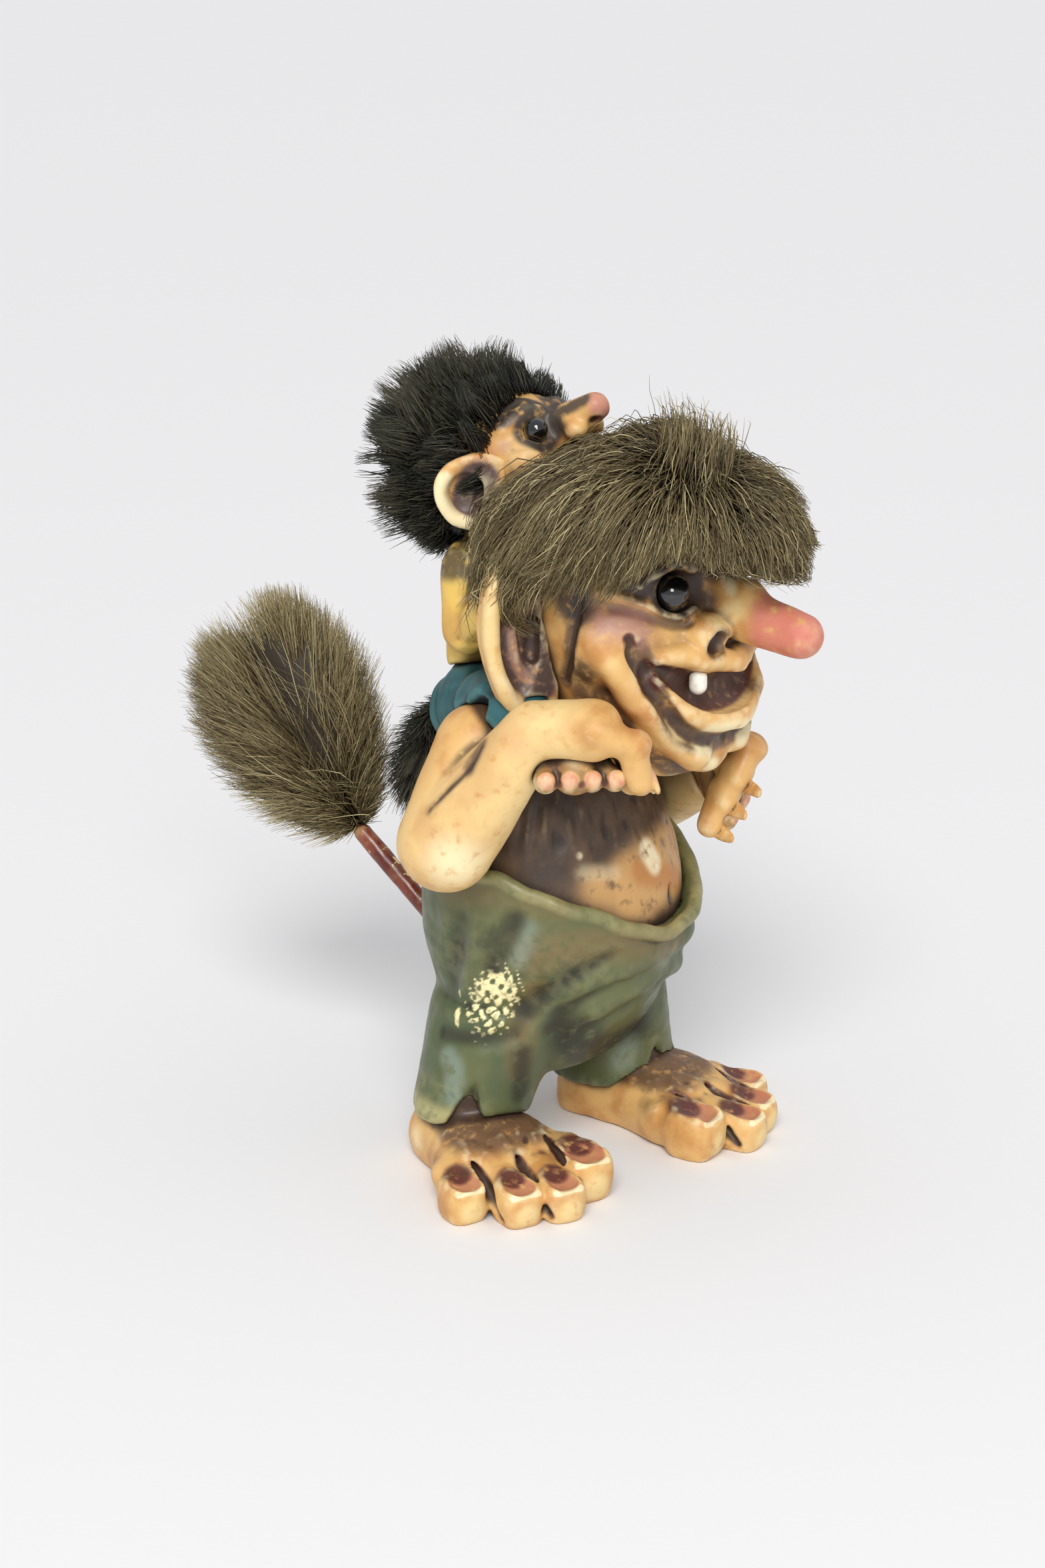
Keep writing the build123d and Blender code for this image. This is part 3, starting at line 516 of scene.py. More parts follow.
skin = rubber(
    "skin",
    rgb(222, 176, 108),
    rgb(200, 142, 78),
    UMBER,
    CREAM,
    coats=(
        ("light", rgb(240, 214, 152), 0.9),
        # Dark brown coat: grime in creases, and painted shade under the jaw, the lower lids, the cheeks and
        # the hands
        ("grime", rgb(92, 68, 50), 0.9),
        ("blush", rgb(206, 112, 102), 0.85),
        ("mauve", rgb(172, 128, 122), 0.85),
        ("slate", rgb(42, 41, 44), 0.95),
        ("maroon", rgb(86, 38, 34), 0.95),
        ("cream", CREAM, 0.9),
    ),
)
cloth = rubber(
    "trouser_green",
    rgb(94, 99, 60),
    rgb(78, 90, 58),
    rgb(42, 39, 27),
    rgb(190, 182, 126),
    coats=(
        ("brown", rgb(118, 100, 62), 0.8),
        ("dark", rgb(38, 40, 30), 0.9),
        # Light blue-grey: a painted sheen on the glossy cloth
        ("sky", rgb(134, 150, 136), 0.6),
        ("hem", rgb(196, 184, 128), 0.7),
        ("chip", rgb(246, 232, 176), 1.0),
    ),
    rub=0.12,
    shiny=0.3,
    cloud=14,
)
chest = rubber(
    "torso_brown",
    rgb(98, 76, 55),
    rgb(70, 54, 41),
    rgb(42, 31, 24),
    rgb(196, 168, 122),
    coats=(
        ("tan", rgb(204, 158, 98), 0.95),
        ("orange", rgb(184, 116, 50), 0.7),
        ("slate", rgb(56, 43, 34), 0.7),
        ("cream", rgb(240, 226, 186), 0.95),
    ),
    rub=0.22,
)
stalk_red = rubber(
    "stalk_red",
    rgb(122, 50, 32),
    rgb(94, 36, 25),
    rgb(40, 20, 14),
    rgb(236, 204, 146),
    chips=0.9,
    dull=0.4,
    shiny=0.15,
)
child_teal = rubber(
    "child_teal",
    rgb(44, 98, 102),
    rgb(34, 76, 80),
    rgb(14, 28, 30),
    rgb(112, 160, 156),
    rub=0.25,
)
child_yellow = rubber(
    "child_yellow",
    rgb(228, 190, 94),
    rgb(210, 164, 82),
    rgb(70, 50, 28),
    rgb(250, 232, 160),
    coats=(("furry", rgb(88, 72, 44), 0.95),),
)


def finish_piece(clay, node, slot, material, masks=None, body="figure"):
    """Meshes a sculpted piece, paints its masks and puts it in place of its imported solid.

    The mask "bare" keeps wash and rub away; the others are coats of the material.
    """
    piece, points = clay.mesh(node + "_form")
    masks = masks(points) if masks else {}
    if "bare" in masks:
        for name in ("relief", "swell", "crowd"):
            values = np.empty(len(points), np.float32)
            piece.data.attributes[name].data.foreach_get("value", values)
            values *= 1 - masks["bare"]
            piece.data.attributes[name].data.foreach_set("value", values)
    for name in COAT_NAMES.get(material.name, ()):
        write(piece, name, masks.get(name, np.zeros(len(points))))
    place(piece, body, slot, material, node)


def one_side(points):
    """Points with those on the figure's left turned to its right."""
    return np.column_stack([-np.abs(points[:, 0]), points[:, 1:]])


# Head
EYE = np.array((12.5, -31.6, 131.0))
EYE_RADIUS = 4.0
EYE_FIT = 0.05
JAW_FOLD = [(-29, -22.5, 124), (-27.7, -26.6, 118.6), (-22.6, -28.6, 111.5), (-20, -31.4, 107.5),
            (-16.3, -34, 102), (-8.5, -35.5, 96.5), (0, -34.5, 93.5)]
CHEEK_GROOVE = [(-23.5, -30.4, 121), (-21.6, -31.2, 116), (-20.4, -31.7, 111), (-17.2, -34.2, 105.2),
                (-12.5, -36.6, 100.8), (-6, -38.4, 99), (0, -39, 98.6)]
LIP_GAP = [(-22.6, -30.4, 120.4), (-17, -32.6, 121), (-12, -35.2, 119.6)]
MOUTH_LINE = [(-18.6, -32.6, 116.2), (-14, -35.6, 112.6), (-8, -38.9, 109.8), (0, -40.2, 109),
              (8, -38.9, 109.8), (14, -35.6, 112.6), (18.6, -32.6, 116.2)]
MOUTH_RADII = (1.0, 2.6, 4.0, 4.2, 4.0, 2.6, 1.0)
UPPER_LIP = [(-20.5, -31.2, 118.8), (-16, -33.6, 118.8), (-9.8, -36.8, 117.8), (-4, -39, 116.2),
             (0, -39.8, 115.2)]
LOWER_LIP = [(-20, -31.2, 114.6), (-17.6, -33.6, 110.6), (-14, -36, 106.6), (-7.6, -38.8, 104.2),
             (0, -40, 103.2)]
LOWER_LID = [(-25.5, -22.5, 132.5), (-22.5, -26.6, 131), (-19.5, -29.4, 129.4), (-16.6, -32, 127.2),
             (-12.5, -34, 126), (-8.8, -35, 127)]
UPPER_LID = [(-20, -28.5, 133.5), (-16.8, -32, 136.2), (-12.5, -34.2, 137), (-8.5, -35, 134.8)]
NOSE_BRIDGE = [(0, -34.5, 139), (0, -37.5, 133.5), (0, -42.5, 129.6)]
NOSE_WING = np.array((-8.2, -37.2, 121.8))
NOSTRIL = np.array((-8.6, -41.0, 120.6))
LAUGH_HOLE = [(-25.6, -29.6, 123.6), (-25.0, -30.4, 120.4), (-23.2, -31, 117.4), (-22.2, -31.4, 114.6)]
EAR_CREASE = [(-27.4, -19, 131), (-28.3, -18.1, 124.8), (-28, -16.8, 118.9), (-25.7, -14.6, 113)]
EYE_BAG = [(-25.6, -25.0, 129.4), (-22, -28.4, 127.9), (-18.5, -31.0, 126.4), (-15, -33.4, 124.8),
           (-11.5, -35.6, 124.6)]
# Places of paint on the right half of the face; JAW_SHADE is painted shade, the SHINE places and CHIN_LIGHT
# are painted highlights
CHEEK = [(-27, -24.5, 127), (-22, -29.5, 125.5)]
BROW = [(-20, -29, 136), (-12, -34, 139), (-4, -35, 138)]
EYE_CORNER = [(-10, -35.4, 134), (-8, -37, 130)]
TEMPLE = [(-27, -16, 137), (-28, -18, 130)]
JAW_SHADE = [(-24.3, -22.8, 110), (-20.8, -26.3, 101.8), (-13.6, -29.4, 95.6), (-5, -30, 92)]
JAW_BACK = [(-28.5, -20, 116), (-27, -18, 110), (-22, -22, 102)]
LIP_CORNER = [(-19.6, -32.5, 111.6), (-17.6, -34.2, 107.4), (-15.8, -35.2, 104.1), (-12, -37, 100.8)]
NOSE_SIDE = [(-8, -39.5, 124.5), (-4, -42, 127)]
LIP_SHINE = [(-9.6, -39, 103.8), (-5, -41, 102.8), (0, -42, 102.4)]
CHIN_SHINE = [(-10.6, -36.8, 98), (-7, -37.6, 96.4)]
CHIN_LIGHT = (-3, -36, 92.5)
BRIDGE_SHINE = [(-1.5, -38.6, 133), (-2.5, -40.5, 130)]
CHEEK_SHINE = [(-25, -27.6, 115), (-19, -32.6, 106)]
# A smudge on the left of the mouth only
MOUTH_SMUDGE = [(6, -41.6, 112), (12, -37.6, 106), (8, -38, 99)]


def sculpt_head():
    clay = Clay("head", 0.42)
    clay.soften(0.9)
    clay.twice(clay.ridge, JAW_FOLD, (1.4, 2.2, 2.6, 2.6, 2.6, 2.8, 3.0), blend=3.0, lift=-1.2)
    for side in (1, -1):
        clay.lump(NOSE_WING * (side, 1, 1), (4.4, 4.2, 3.9), blend=2.4)
        clay.lump(EYE * (side, 1, 1) + (0, -4.0, 0.6), (6.4, 4.4, 5.2), blend=2.5, cut=True)
    clay.ridge(NOSE_BRIDGE, (2.0, 2.4, 3.0), blend=3.5, lift=-0.5)
    clay.twice(clay.ridge, UPPER_LIP, (1.2, 2.0, 2.4, 2.4, 2.3), blend=1.2, lift=-0.6)
    clay.twice(clay.ridge, LOWER_LIP, (1.0, 1.8, 2.3, 2.4, 2.4), blend=1.2, lift=-0.5)
    clay.groove(MOUTH_LINE, MOUTH_RADII, blend=0.7, snap=False)
    clay.twice(clay.groove, CHEEK_GROOVE, (1.0, 1.5, 1.6, 1.6, 1.5, 1.3, 1.2), blend=1.6, lift=0.3)
    clay.twice(clay.groove, EAR_CREASE, (0.5, 1.1, 1.2, 0.8), blend=1.0, lift=0.1)
    for lid in (LOWER_LID, UPPER_LID):
        clay.twice(clay.ridge, lid, 0.9, blend=1.0)
    clay.twice(clay.groove, EYE_BAG, (0.2, 0.5, 0.7, 0.6, 0.3), blend=1.8, lift=0.3)
    for side in (1, -1):
        clay.lump(NOSTRIL * (side, 1, 1), (3.0, 3.0, 2.7), blend=0.8, cut=True)
        clay.lump(EYE * (side, 1, 1), [EYE_RADIUS + EYE_FIT] * 3, blend=0.2, cut=True)
    clay.twice(clay.groove, LAUGH_HOLE, (0.9, 1.5, 1.1, 0.5), blend=0.8)
    clay.roughen(0.12, 3.0, seed=11)
    clay.roughen(0.05, 1.1, seed=12)

    def masks(points):
        side = one_side(points)
        ahead = points[:, 1]
        cheek = spot(side, CHEEK, 7.5, soft=0.9)
        nose = smooth_step(-43.5, -48, ahead) * (0.85 + 0.15 * smooth_step(-54, -59, ahead))
        socket = spots(
            side,
            (1, EYE * (-1, 1, 1) + (0, -2, 1.8), 9.4, 0.35),
            (1, BROW, 8.0, 0.5),
            (1, EYE_CORNER, 5.0, 0.6),
        )
        temple = spot(side, TEMPLE, 7, soft=0.6)
        mouth = spot(points + (0, -2.5, 0), MOUTH_LINE, 4.6, soft=0.25)
        nostril = spot(side, NOSTRIL + (0, 1.2, 0.2), 3.2)
        hole = spot(side, LAUGH_HOLE, 2.0)
        # Dark brown: wash in grooves and creases, and painted shade under the jaw fold, under the lower lid
        # and between cheek and upper lip
        grime = most(
            spot(side, CHEEK_GROOVE, 4.0, soft=0.6),
            spot(side, JAW_SHADE, 5.0, soft=0.7),
            spot(side, EAR_CREASE, 3.2, soft=0.7),
            0.45 * spot(side, LIP_GAP, 3.2, soft=1.0),
            spot(side, LIP_CORNER, 3.2),
            spot(side, NOSTRIL, 4.4, soft=0.4),
            0.8 * spot(side, EYE_BAG, 1.9, soft=0.8),
            spot(side, JAW_BACK, 5.5, soft=0.8),
            0.8 * spot(points, MOUTH_SMUDGE, 4.0, soft=0.8),
        )
        light = spots(
            side,
            (1, JAW_FOLD[1:], 3.2, 0.8),
            (0.8, LOWER_LIP[2:], 2.6, 0.8),
            (0.7, NOSE_SIDE, 4.0, 0.8),
        )
        # Painted highlights, in cream, on the lips, chin, nose bridge and cheek
        cream = spots(
            side,
            (1, LIP_SHINE, 2.6, 0.7),
            (1, CHIN_SHINE, 3.0, 0.8),
            (0.9, CHIN_LIGHT, 4.0, 0.8),
            (0.9, BRIDGE_SHINE, 2.6, 0.8),
            (0.5, CHEEK_SHINE, 1.8, 0.8),
        )
        return {
            "bare": spots(side, (0.6, EYE_BAG, 2.6, 0.8), (0.8, LIP_GAP, 3.4, 0.8)),
            "light": light,
            "grime": grime * (1 - 0.8 * spot(side, JAW_FOLD, 2.0)),
            "blush": most(0.35 * cheek, nose),
            "mauve": 0.75 * cheek,
            "slate": most(socket, 0.8 * temple),
            "maroon": most(mouth, 0.5 * nostril, hole),
            "cream": cream * (1 - mouth),
        }

    finish_piece(clay, "head", "skin", skin, masks)


# Ears
class EarPlan:
    """Where an ear lies: its root, and how far it is swept back."""

    def __init__(self, root, sweep):
        turn = math.radians(sweep)
        self.root = np.array(root)
        self.outward = np.array((-math.cos(turn), math.sin(turn), 0))
        self.forward = np.array((-math.sin(turn), -math.cos(turn), 0))

    def path(self, places, lift, side):
        """Points from their places out from the head and up it, lift in front of the ear's middle."""
        up = np.array((0, 0, 1))
        points = [self.root + u * self.outward + v * up + lift * self.forward for u, v in places]
        return points if side < 0 else mirrored(points)


EAR = EarPlan((-25.9, -9.0, 122.0), 26)
EAR_RIM = [(-1, 16.4), (7.2, 17.2), (12.2, 11), (12.8, 2), (11.0, -7), (5.6, -15), (-1, -14.8)]
EAR_FOLD = [(2, 11), (5.6, 8), (7.2, 1), (5.8, -6), (2.6, -9.6)]
EAR_BOWL = [(3.5, 10), (5.5, 0), (3.5, -9)]
EAR_HOLE = [(2.6, 3), (2.8, -4)]
EAR_BACK = [(2, 8), (6, -8)]
CHILD_EAR = EarPlan((-15.0, 10.0, 147.5), 55)
CHILD_EAR_RIM = [(-1, 6.6), (5.5, 6.6), (9.6, 3.4), (10.4, -1), (7.4, -5.4), (2, -6.8), (-1, -6.2)]
CHILD_EAR_BOWL = [(2.5, 3), (4, -2)]
CHILD_EAR_HOLE = [(2.4, 2), (2.8, -2)]


def sculpt_ear(node, side):
    clay = Clay(node, 0.34)
    clay.soften(0.5)
    clay.ridge(EAR.path(EAR_RIM, 1.5, side), (1.0, 1.3, 1.5, 1.6, 1.6, 1.5, 1.2), blend=1.2, snap=False)
    clay.ridge(EAR.path(EAR_FOLD, -0.2, side), (0.6, 1.1, 1.2, 1.1, 0.6), blend=1.0, snap=False)
    clay.groove(EAR.path(EAR_HOLE, 0.6, side), 1.5, blend=1.0, snap=False)
    clay.roughen(0.12, 2.4, seed=21)

    def masks(points):
        rim = spot(points, EAR.path(EAR_RIM, 1.5, side), 3.0, soft=0.6)
        bowl = spot(points, EAR.path(EAR_BOWL, 1.0, side), 8.0, soft=0.4)
        fold = spot(points, EAR.path(EAR_FOLD, 0.8, side), 1.7)
        back = spot(points, EAR.path(EAR_BACK, -4.5, side), 7.0, soft=0.8)
        return {
            "mauve": 0.8 * bowl * (1 - rim),
            "slate": 0.8 * bowl * (1 - rim) * (1 - 0.5 * fold),
            "light": 0.8 * rim,
            "cream": 0.7 * spot(points, EAR.path(EAR_RIM[4:], 2.2, side), 2.0, soft=0.8),
            "grime": 0.5 * back,
        }

    finish_piece(clay, node, "skin", skin, masks)


def sculpt_child_ear(node, side):
    clay = Clay(node, 0.3)
    clay.soften(0.4)
    radii = (0.7, 1.0, 1.2, 1.3, 1.3, 1.1, 0.8)
    clay.ridge(CHILD_EAR.path(CHILD_EAR_RIM, 0.9, side), radii, blend=0.9, snap=False)
    clay.groove(CHILD_EAR.path(CHILD_EAR_HOLE, 0.4, side), 1.0, blend=0.8, snap=False)
    clay.roughen(0.1, 2.0, seed=22)

    def masks(points):
        rim = spot(points, CHILD_EAR.path(CHILD_EAR_RIM[2:], 1.2, side), 2.3, soft=0.5)
        bowl = spot(points, CHILD_EAR.path(CHILD_EAR_BOWL, 0.4, side), 5.5, soft=0.4) * (1 - rim)
        return {
            "slate": 0.75 * bowl,
            "mauve": 0.9 * bowl,
            "light": 0.6 * rim,
            "cream": 0.8 * rim,
        }

    finish_piece(clay, node, "skin", skin, masks)


# Torso
NAVEL = (4.0, -24.2, 60.0)
# Places of paint on the belly and chest
BELLY = [(-8, -21, 65), (4, -23, 67), (16, -18, 67)]
BELLY_SIDE = [(-16, -17, 66), (-6, -22, 60)]
BELLY_GLOW = [(-6, -22.5, 68), (8, -22, 62)]
ARMPIT = [(-27, -6, 66), (-24, -12, 74), (-20, -14, 82)]
# Painted highlights, in cream, on the belly and chest
BELLY_SHINE = [(-2.6, -21.4, 71.4), (-1.0, -22.2, 68.4)]
CHEST_DOT = (-18.8, -14.1, 73.5)
CHEST_SMEAR = [(-13, -19.4, 69), (-19, -15.4, 70)]


def sculpt_torso():
    clay = Clay("torso", 0.5)
    clay.soften(0.8)
    x, y, z = clay.axes()
    furry = smooth_step(62, 74, z + 0.25 * (x + 5)) * smooth_step(10, 4, y)
    clay.roughen(0.32, (1.1, 1.1, 5.0), seed=31, mask=furry)
    clay.roughen(0.18, 5.0, seed=32)
    clay.lump(NAVEL, (0.9, 2.4, 2.6), blend=0.8, cut=True)

    def masks(points):
        return {
            "tan": most(spot(points, BELLY, 12, soft=0.7), 0.8 * spot(points, BELLY_SIDE, 8, soft=0.9)),
            "orange": spot(points, BELLY_GLOW, 5.5, soft=0.9),
            "slate": most(smooth_step(78, 86, points[:, 2]), 0.9 * spot(points, ARMPIT, 7, soft=0.8)),
            # Cream painted highlights on the belly and chest
            "cream": spots(
                points,
                (0.9, BELLY_SHINE, 4.0, 0.7),
                (0.7, CHEST_DOT, 1.3, 0.8),
                (0.35, CHEST_SMEAR, 3.5, 0.9),
            ),
        }

    finish_piece(clay, "torso", "torso_brown", chest, masks)


# Trousers
WAIST_FRONT_Z = 56.0
WAIST_SIDE_Z = 70.0
WAIST_SCOOP_RADIUS = 40.0
WAIST_MIDDLE_Y = 2.0
WAIST_STAND_OFF = 2.9
WAIST_POINTS = 64
WAISTBAND_DROP = 1.0
# Half width and half depth: round the waist roughly, then the torso's at one height and how it tapers
WAIST_ROUND = (31.0, 29.0)
TORSO_Z = 60.0
TORSO_HALF = (28.5, 26.2)
TORSO_TAPER = (0.11, 0.23)
LINING_GAP = 0.15
WAIST_LINING_DROP = 1.5
# Feet that go up into the trousers, and the height where their sockets begin
LINED_FEET = (("right_foot", 15), ("left_foot", 12))


def waist_height(x, y):
    """The waist's height: level at the sides and back, scooped out in front."""
    scoop = WAIST_FRONT_Z + WAIST_SCOOP_RADIUS - np.sqrt(np.maximum(WAIST_SCOOP_RADIUS**2 - x**2, 0))
    return np.where(y < WAIST_MIDDLE_Y, np.minimum(scoop, WAIST_SIDE_Z), WAIST_SIDE_Z)


def waist_ring(turns, wide, deep):
    """Places round the waist's middle from a half width and a half depth."""
    return wide * np.sin(turns), WAIST_MIDDLE_Y - deep * np.cos(turns)


def waist_path():
    """Points along the waistband's outer edge, all the way round."""
    turns = np.linspace(-math.pi, math.pi, WAIST_POINTS)
    high = waist_height(*waist_ring(turns, *WAIST_ROUND))
    wide, deep = (
        half - taper * (high - TORSO_Z) + WAIST_STAND_OFF for half, taper in zip(TORSO_HALF, TORSO_TAPER)
    )
    x, y = waist_ring(turns, wide, deep)
    sag = 0.5 * np.sin(7 * turns) + 0.3 * np.sin(17 * turns + 1)
    return np.stack([x, y, waist_height(x, y) - WAISTBAND_DROP + sag], axis=-1)


CLOTH_FOLDS = [
    [(-17.6, -21.6, 50.6), (-23.3, -16.1, 47.9), (-26.2, -10.7, 44.2), (-27.2, -6.0, 39.9)],
    [(-15.4, -20.6, 44.2), (-19.6, -16.4, 41.6), (-22.0, -13.2, 39.0), (-22.9, -10.1, 34.9)],
    [(-8.6, -20.0, 37.4), (-11.8, -18.7, 36.8), (-15.0, -15.6, 34.1)],
    [(-31.1, -5.5, 60.6), (-31.4, -2.7, 55.0), (-31.0, -0.1, 49.1)],
    [(-31.5, 7.5, 59.0), (-30.5, 9.6, 52.3), (-28.0, 12.4, 43.3)],
]
CLOTH_RISES = [
    [(-1.0, -26.2, 49.4), (-9.0, -25.2, 49.6), (-17.0, -20.8, 47.2), (-22.8, -14.6, 43.4)],
    [(-2.0, -23.6, 42.4), (-10.0, -21.8, 41.6), (-16.5, -17.4, 38.8)],
]
KNEE_EDGE = [(-30.9, 13.0, 32.1), (-31.9, 5.8, 32.9), (-30.7, -0.4, 33.5), (-28.9, -4.1, 34.6)]
HEM_TEAR = [(-33.3, 2.8, 22.5), (-34.4, 4.0, 17.0), (-35.0, 4.6, 12.0)]
LEFT_HEM_TEAR = [(17.1, -14.2, 18.5), (16.0, -14.6, 13.5), (15.0, -15.0, 9.0)]
PATCH = np.array((-30.0, 0.3, 41.3))
PATCH_OUT = unit(np.array((-0.86, -0.5, 0.1)))
PATCH_ACROSS = unit(np.cross((0, 0, 1), PATCH_OUT))
PATCH_UP = np.cross(PATCH_OUT, PATCH_ACROSS)
PATCH_HALF = (4.9, 7.4, 12.0)
PATCH_LEAN = 0.25
STITCH_PITCH = 3.1
# Each hem's middle, half width, half depth and height
HEM_RINGS = (((-24.5, 10), 12.4, 13, 12.5), ((19, -0.5), 14, 15, 9.5))
HEM_TEARS = 16
# Places of paint on the cloth; the SHADE places are painted shade, the SKY places a painted sheen
CROTCH_SHADE = [(-18, -12, 33), (-8, -12, 26), (4, -13, 28), (9, -11, 26)]
LEG_SHADE = [(-27, -5, 30), (-26, -4, 20)]
HIP_SHADE = [(-31.8, 1.7, 54.6), (-31, -6, 61.6)]
HIP_SKY = [(-30, -8.5, 59.4), (-30.2, -7.6, 56.3), (-30.3, -6, 52.3)]
LEG_SKY = [(-33.1, 9.8, 28), (-33.8, 7.7, 25.9), (-34.7, 7.5, 20)]
LEFT_LEG_SKY = [(9.2, -10.6, 20.2), (8.3, -9.7, 16.9)]
FRONT_BROWN = [(-29, -9, 53), (-26.2, -14.6, 54.8), (-14, -24, 55), (0, -27, 52)]
LEG_BROWN = [(-27.8, -8.7, 45.8), (-28, -6, 38), (-27, -4, 26)]
WAIST_BROWN = [(-31, 14, 64), (-31, 4, 66), (-26, -14, 64)]
PAINT_RUN = [(-27.9, 10.5, 41), (-30.3, 9.2, 37), (-31.7, 8.7, 33)]


def patch_places(x, y, z):
    """Places across and up the worn patch, and how far from its middle on a scale of its half sizes."""
    shift = (x - PATCH[0], y - PATCH[1], z - PATCH[2])
    across, up, out = (sum(s * a for s, a in zip(shift, row)) for row in (PATCH_ACROSS, PATCH_UP, PATCH_OUT))
    lean = across - PATCH_LEAN * up
    return lean, up, np.sqrt(sum((far / half) ** 2 for far, half in zip((lean, up, out), PATCH_HALF)))


def stitches(across, up):
    """Uneven square stitches set cornerwise: 1 on a stitch, 0 between."""
    across = across + 0.35 * np.sin(1.7 * up + 0.6 * across)
    up = up + 0.35 * np.sin(1.9 * across - 0.5 * up + 1)
    first = np.sin(math.pi * (across + up) / STITCH_PITCH) ** 2
    second = np.sin(math.pi * (across - up) / STITCH_PITCH) ** 2
    return smooth_step(0.12, 0.3, first * second)


def sculpt_trousers():
    clay = Clay("trousers", 0.5)
    x, y, z = clay.axes()
    linings = [np.maximum(clay.distances("torso"), z - waist_height(x, y) + WAIST_LINING_DROP)]
    linings += [np.maximum(clay.distances(foot), low - z) for foot, low in LINED_FEET]
    for lining in linings:
        clay.field = np.minimum(clay.field, lining).astype(np.float32)
    clay.soften(0.9)
    clay.ridge(waist_path(), 1.6, blend=0.8, snap=False)
    for fold in CLOTH_FOLDS:
        clay.twice(clay.crease, fold, 5.0, 0.8, blend=2.0)
    for rise in CLOTH_RISES:
        clay.twice(clay.ridge, rise, (1.2, 2.6, 2.6, 1.2)[:len(rise)], blend=2.5, lift=-1.6)
    clay.crease(KNEE_EDGE, 4.0, 1.0, blend=2.0)
    clay.groove(HEM_TEAR, (0.5, 2.8, 4.6), blend=0.8, snap=False)
    clay.groove(LEFT_HEM_TEAR, (0.5, 2.6, 4.4), blend=0.8, snap=False)
    draws = np.random.default_rng(41)
    for centre, wide, deep, low in HEM_RINGS:
        for number in range(HEM_TEARS):
            angle = (number + draws.uniform(-0.3, 0.3)) * 2 * math.pi / HEM_TEARS
            edge = np.array((centre[0] + wide * math.sin(angle), centre[1] + deep * math.cos(angle), low))
            tall = draws.uniform(0.4, 2.8)
            clay.groove([edge - (0, 0, 1), edge + (0, 0, tall)], (draws.uniform(0.8, 1.6), 0.3), snap=False)
    across, up, far = patch_places(x, y, z)
    worn = smooth_step(1.1, 0.8, far)
    clay.field -= (0.35 * worn * stitches(across, up) + 0.25 * worn).astype(np.float32)
    clay.roughen(0.25, 5.0, seed=42)
    clay.roughen(0.07, 1.6, seed=43)
    for lining in linings:
        clay.field = np.maximum(clay.field, LINING_GAP - lining).astype(np.float32)

    def masks(points):
        across, up, far = patch_places(*points.T)
        ragged = far + 0.16 * np.sin(3.1 * across + 1.7 * up) + 0.12 * np.sin(5.3 * up - 2.2 * across)
        worn = smooth_step(1.12, 0.98, ragged)
        whole = smooth_step(0.2, 1.2, up + 1.5 * np.sin(1.3 * across))
        gaps = smooth_step(0.25, 0.6, np.sin(1.9 * across + 0.8 * up) * np.sin(1.4 * up - across))
        crumbs = most(stitches(across, up) * (1 - whole), whole * (1 - gaps))
        streak = spot(points, PAINT_RUN, 0.8)
        rim = spot(points, waist_path(), 2.3, soft=0.6)
        hem = smooth_step(19.5, 15.5, points[:, 2]) * smooth_step(2, 8, points[:, 1]) * (points[:, 0] < -24)
        return {
            "chip": most(worn * crumbs, streak),
            "hem": most(0.9 * rim, 0.8 * hem),
            # Painted shade between the legs, in the front fold and at the hip
            "dark": spots(
                points,
                (1, CROTCH_SHADE, 10, 0.9),
                (0.8, LEG_SHADE, 4.5, 0.9),
                (0.7, CLOTH_FOLDS[0][1:], 4, 0.9),
                (0.6, HIP_SHADE, 4, 0.9),
            ),
            # Painted sheen, light blue-grey, on the hip and legs
            "sky": spots(
                points,
                (0.8, HIP_SKY, 4.5, 1.0),
                (1, LEG_SKY, 4.5, 1.0),
                (0.8, LEFT_LEG_SKY, 6, 1.0),
            ),
            "brown": spots(
                points,
                (1, FRONT_BROWN, 9, 1.0),
                (0.9, LEG_BROWN, 6, 1.0),
                (0.8, WAIST_BROWN, 6, 1.0),
            ),
        }

    finish_piece(clay, "trousers", "trouser_green", cloth, masks)


# Feet
TOE_REACHES = (26.5, 33.5, 31.5, 24.5)
TOE_RADII = (6.2, 5.0, 5.0, 5.0)
NAIL_TILT = 14
TOE_PITCH = 9.2
# Places ahead of and above the ends of two toes: the cleft between them, and its paint
TOE_CLEFT = ((-13, 5.5), (-5, 4.0), (1.0, 0.5), (4.0, -3.0))
TOE_WEB = ((-12, 5.5), (-5, 3.6), (1.5, 0.5), (4.0, -2.5))


class FootPlan:
    """Where a foot's toes lie, from its ankle, its splay and the side of its big toe."""

    def __init__(self, ankle, splay, inner):
        turn = math.radians(-splay * inner)
        self.ankle = np.array((*ankle, 0.0))
        self.ahead = np.array((math.sin(turn), -math.cos(turn), 0))
        self.aside = inner * np.array((math.cos(turn), math.sin(turn), 0))
        self.turn = np.array((self.aside, self.ahead, (0, 0, 1)))

    def at(self, ahead, aside, up):
        return self.ankle + ahead * self.ahead + aside * self.aside + np.array((0, 0, up))

    def toe(self, number, ahead, up, aside=0.0):
        """A place on a toe, from the middle of its end ball."""
        side = (1.5 - number) * TOE_PITCH
        return self.at(TOE_REACHES[number] + ahead, side + aside, TOE_RADII[number] - 0.4 + up)

    def between(self, number, places):
        """Points half way between a toe and the next one."""
        return [0.5 * (self.toe(number, *place) + self.toe(number + 1, *place)) for place in places]


RIGHT_FOOT = FootPlan((-24.5, 10.0), 30.0, 1)
LEFT_FOOT = FootPlan((19.0, -3.5), 1.0, -1)


def tilted(turn, degrees):
    """A frame of rows tipped forward about its first row."""
    c, s = math.cos(math.radians(degrees)), math.sin(math.radians(degrees))
    return np.array((turn[0], c * turn[1] - s * turn[2], s * turn[1] + c * turn[2]))


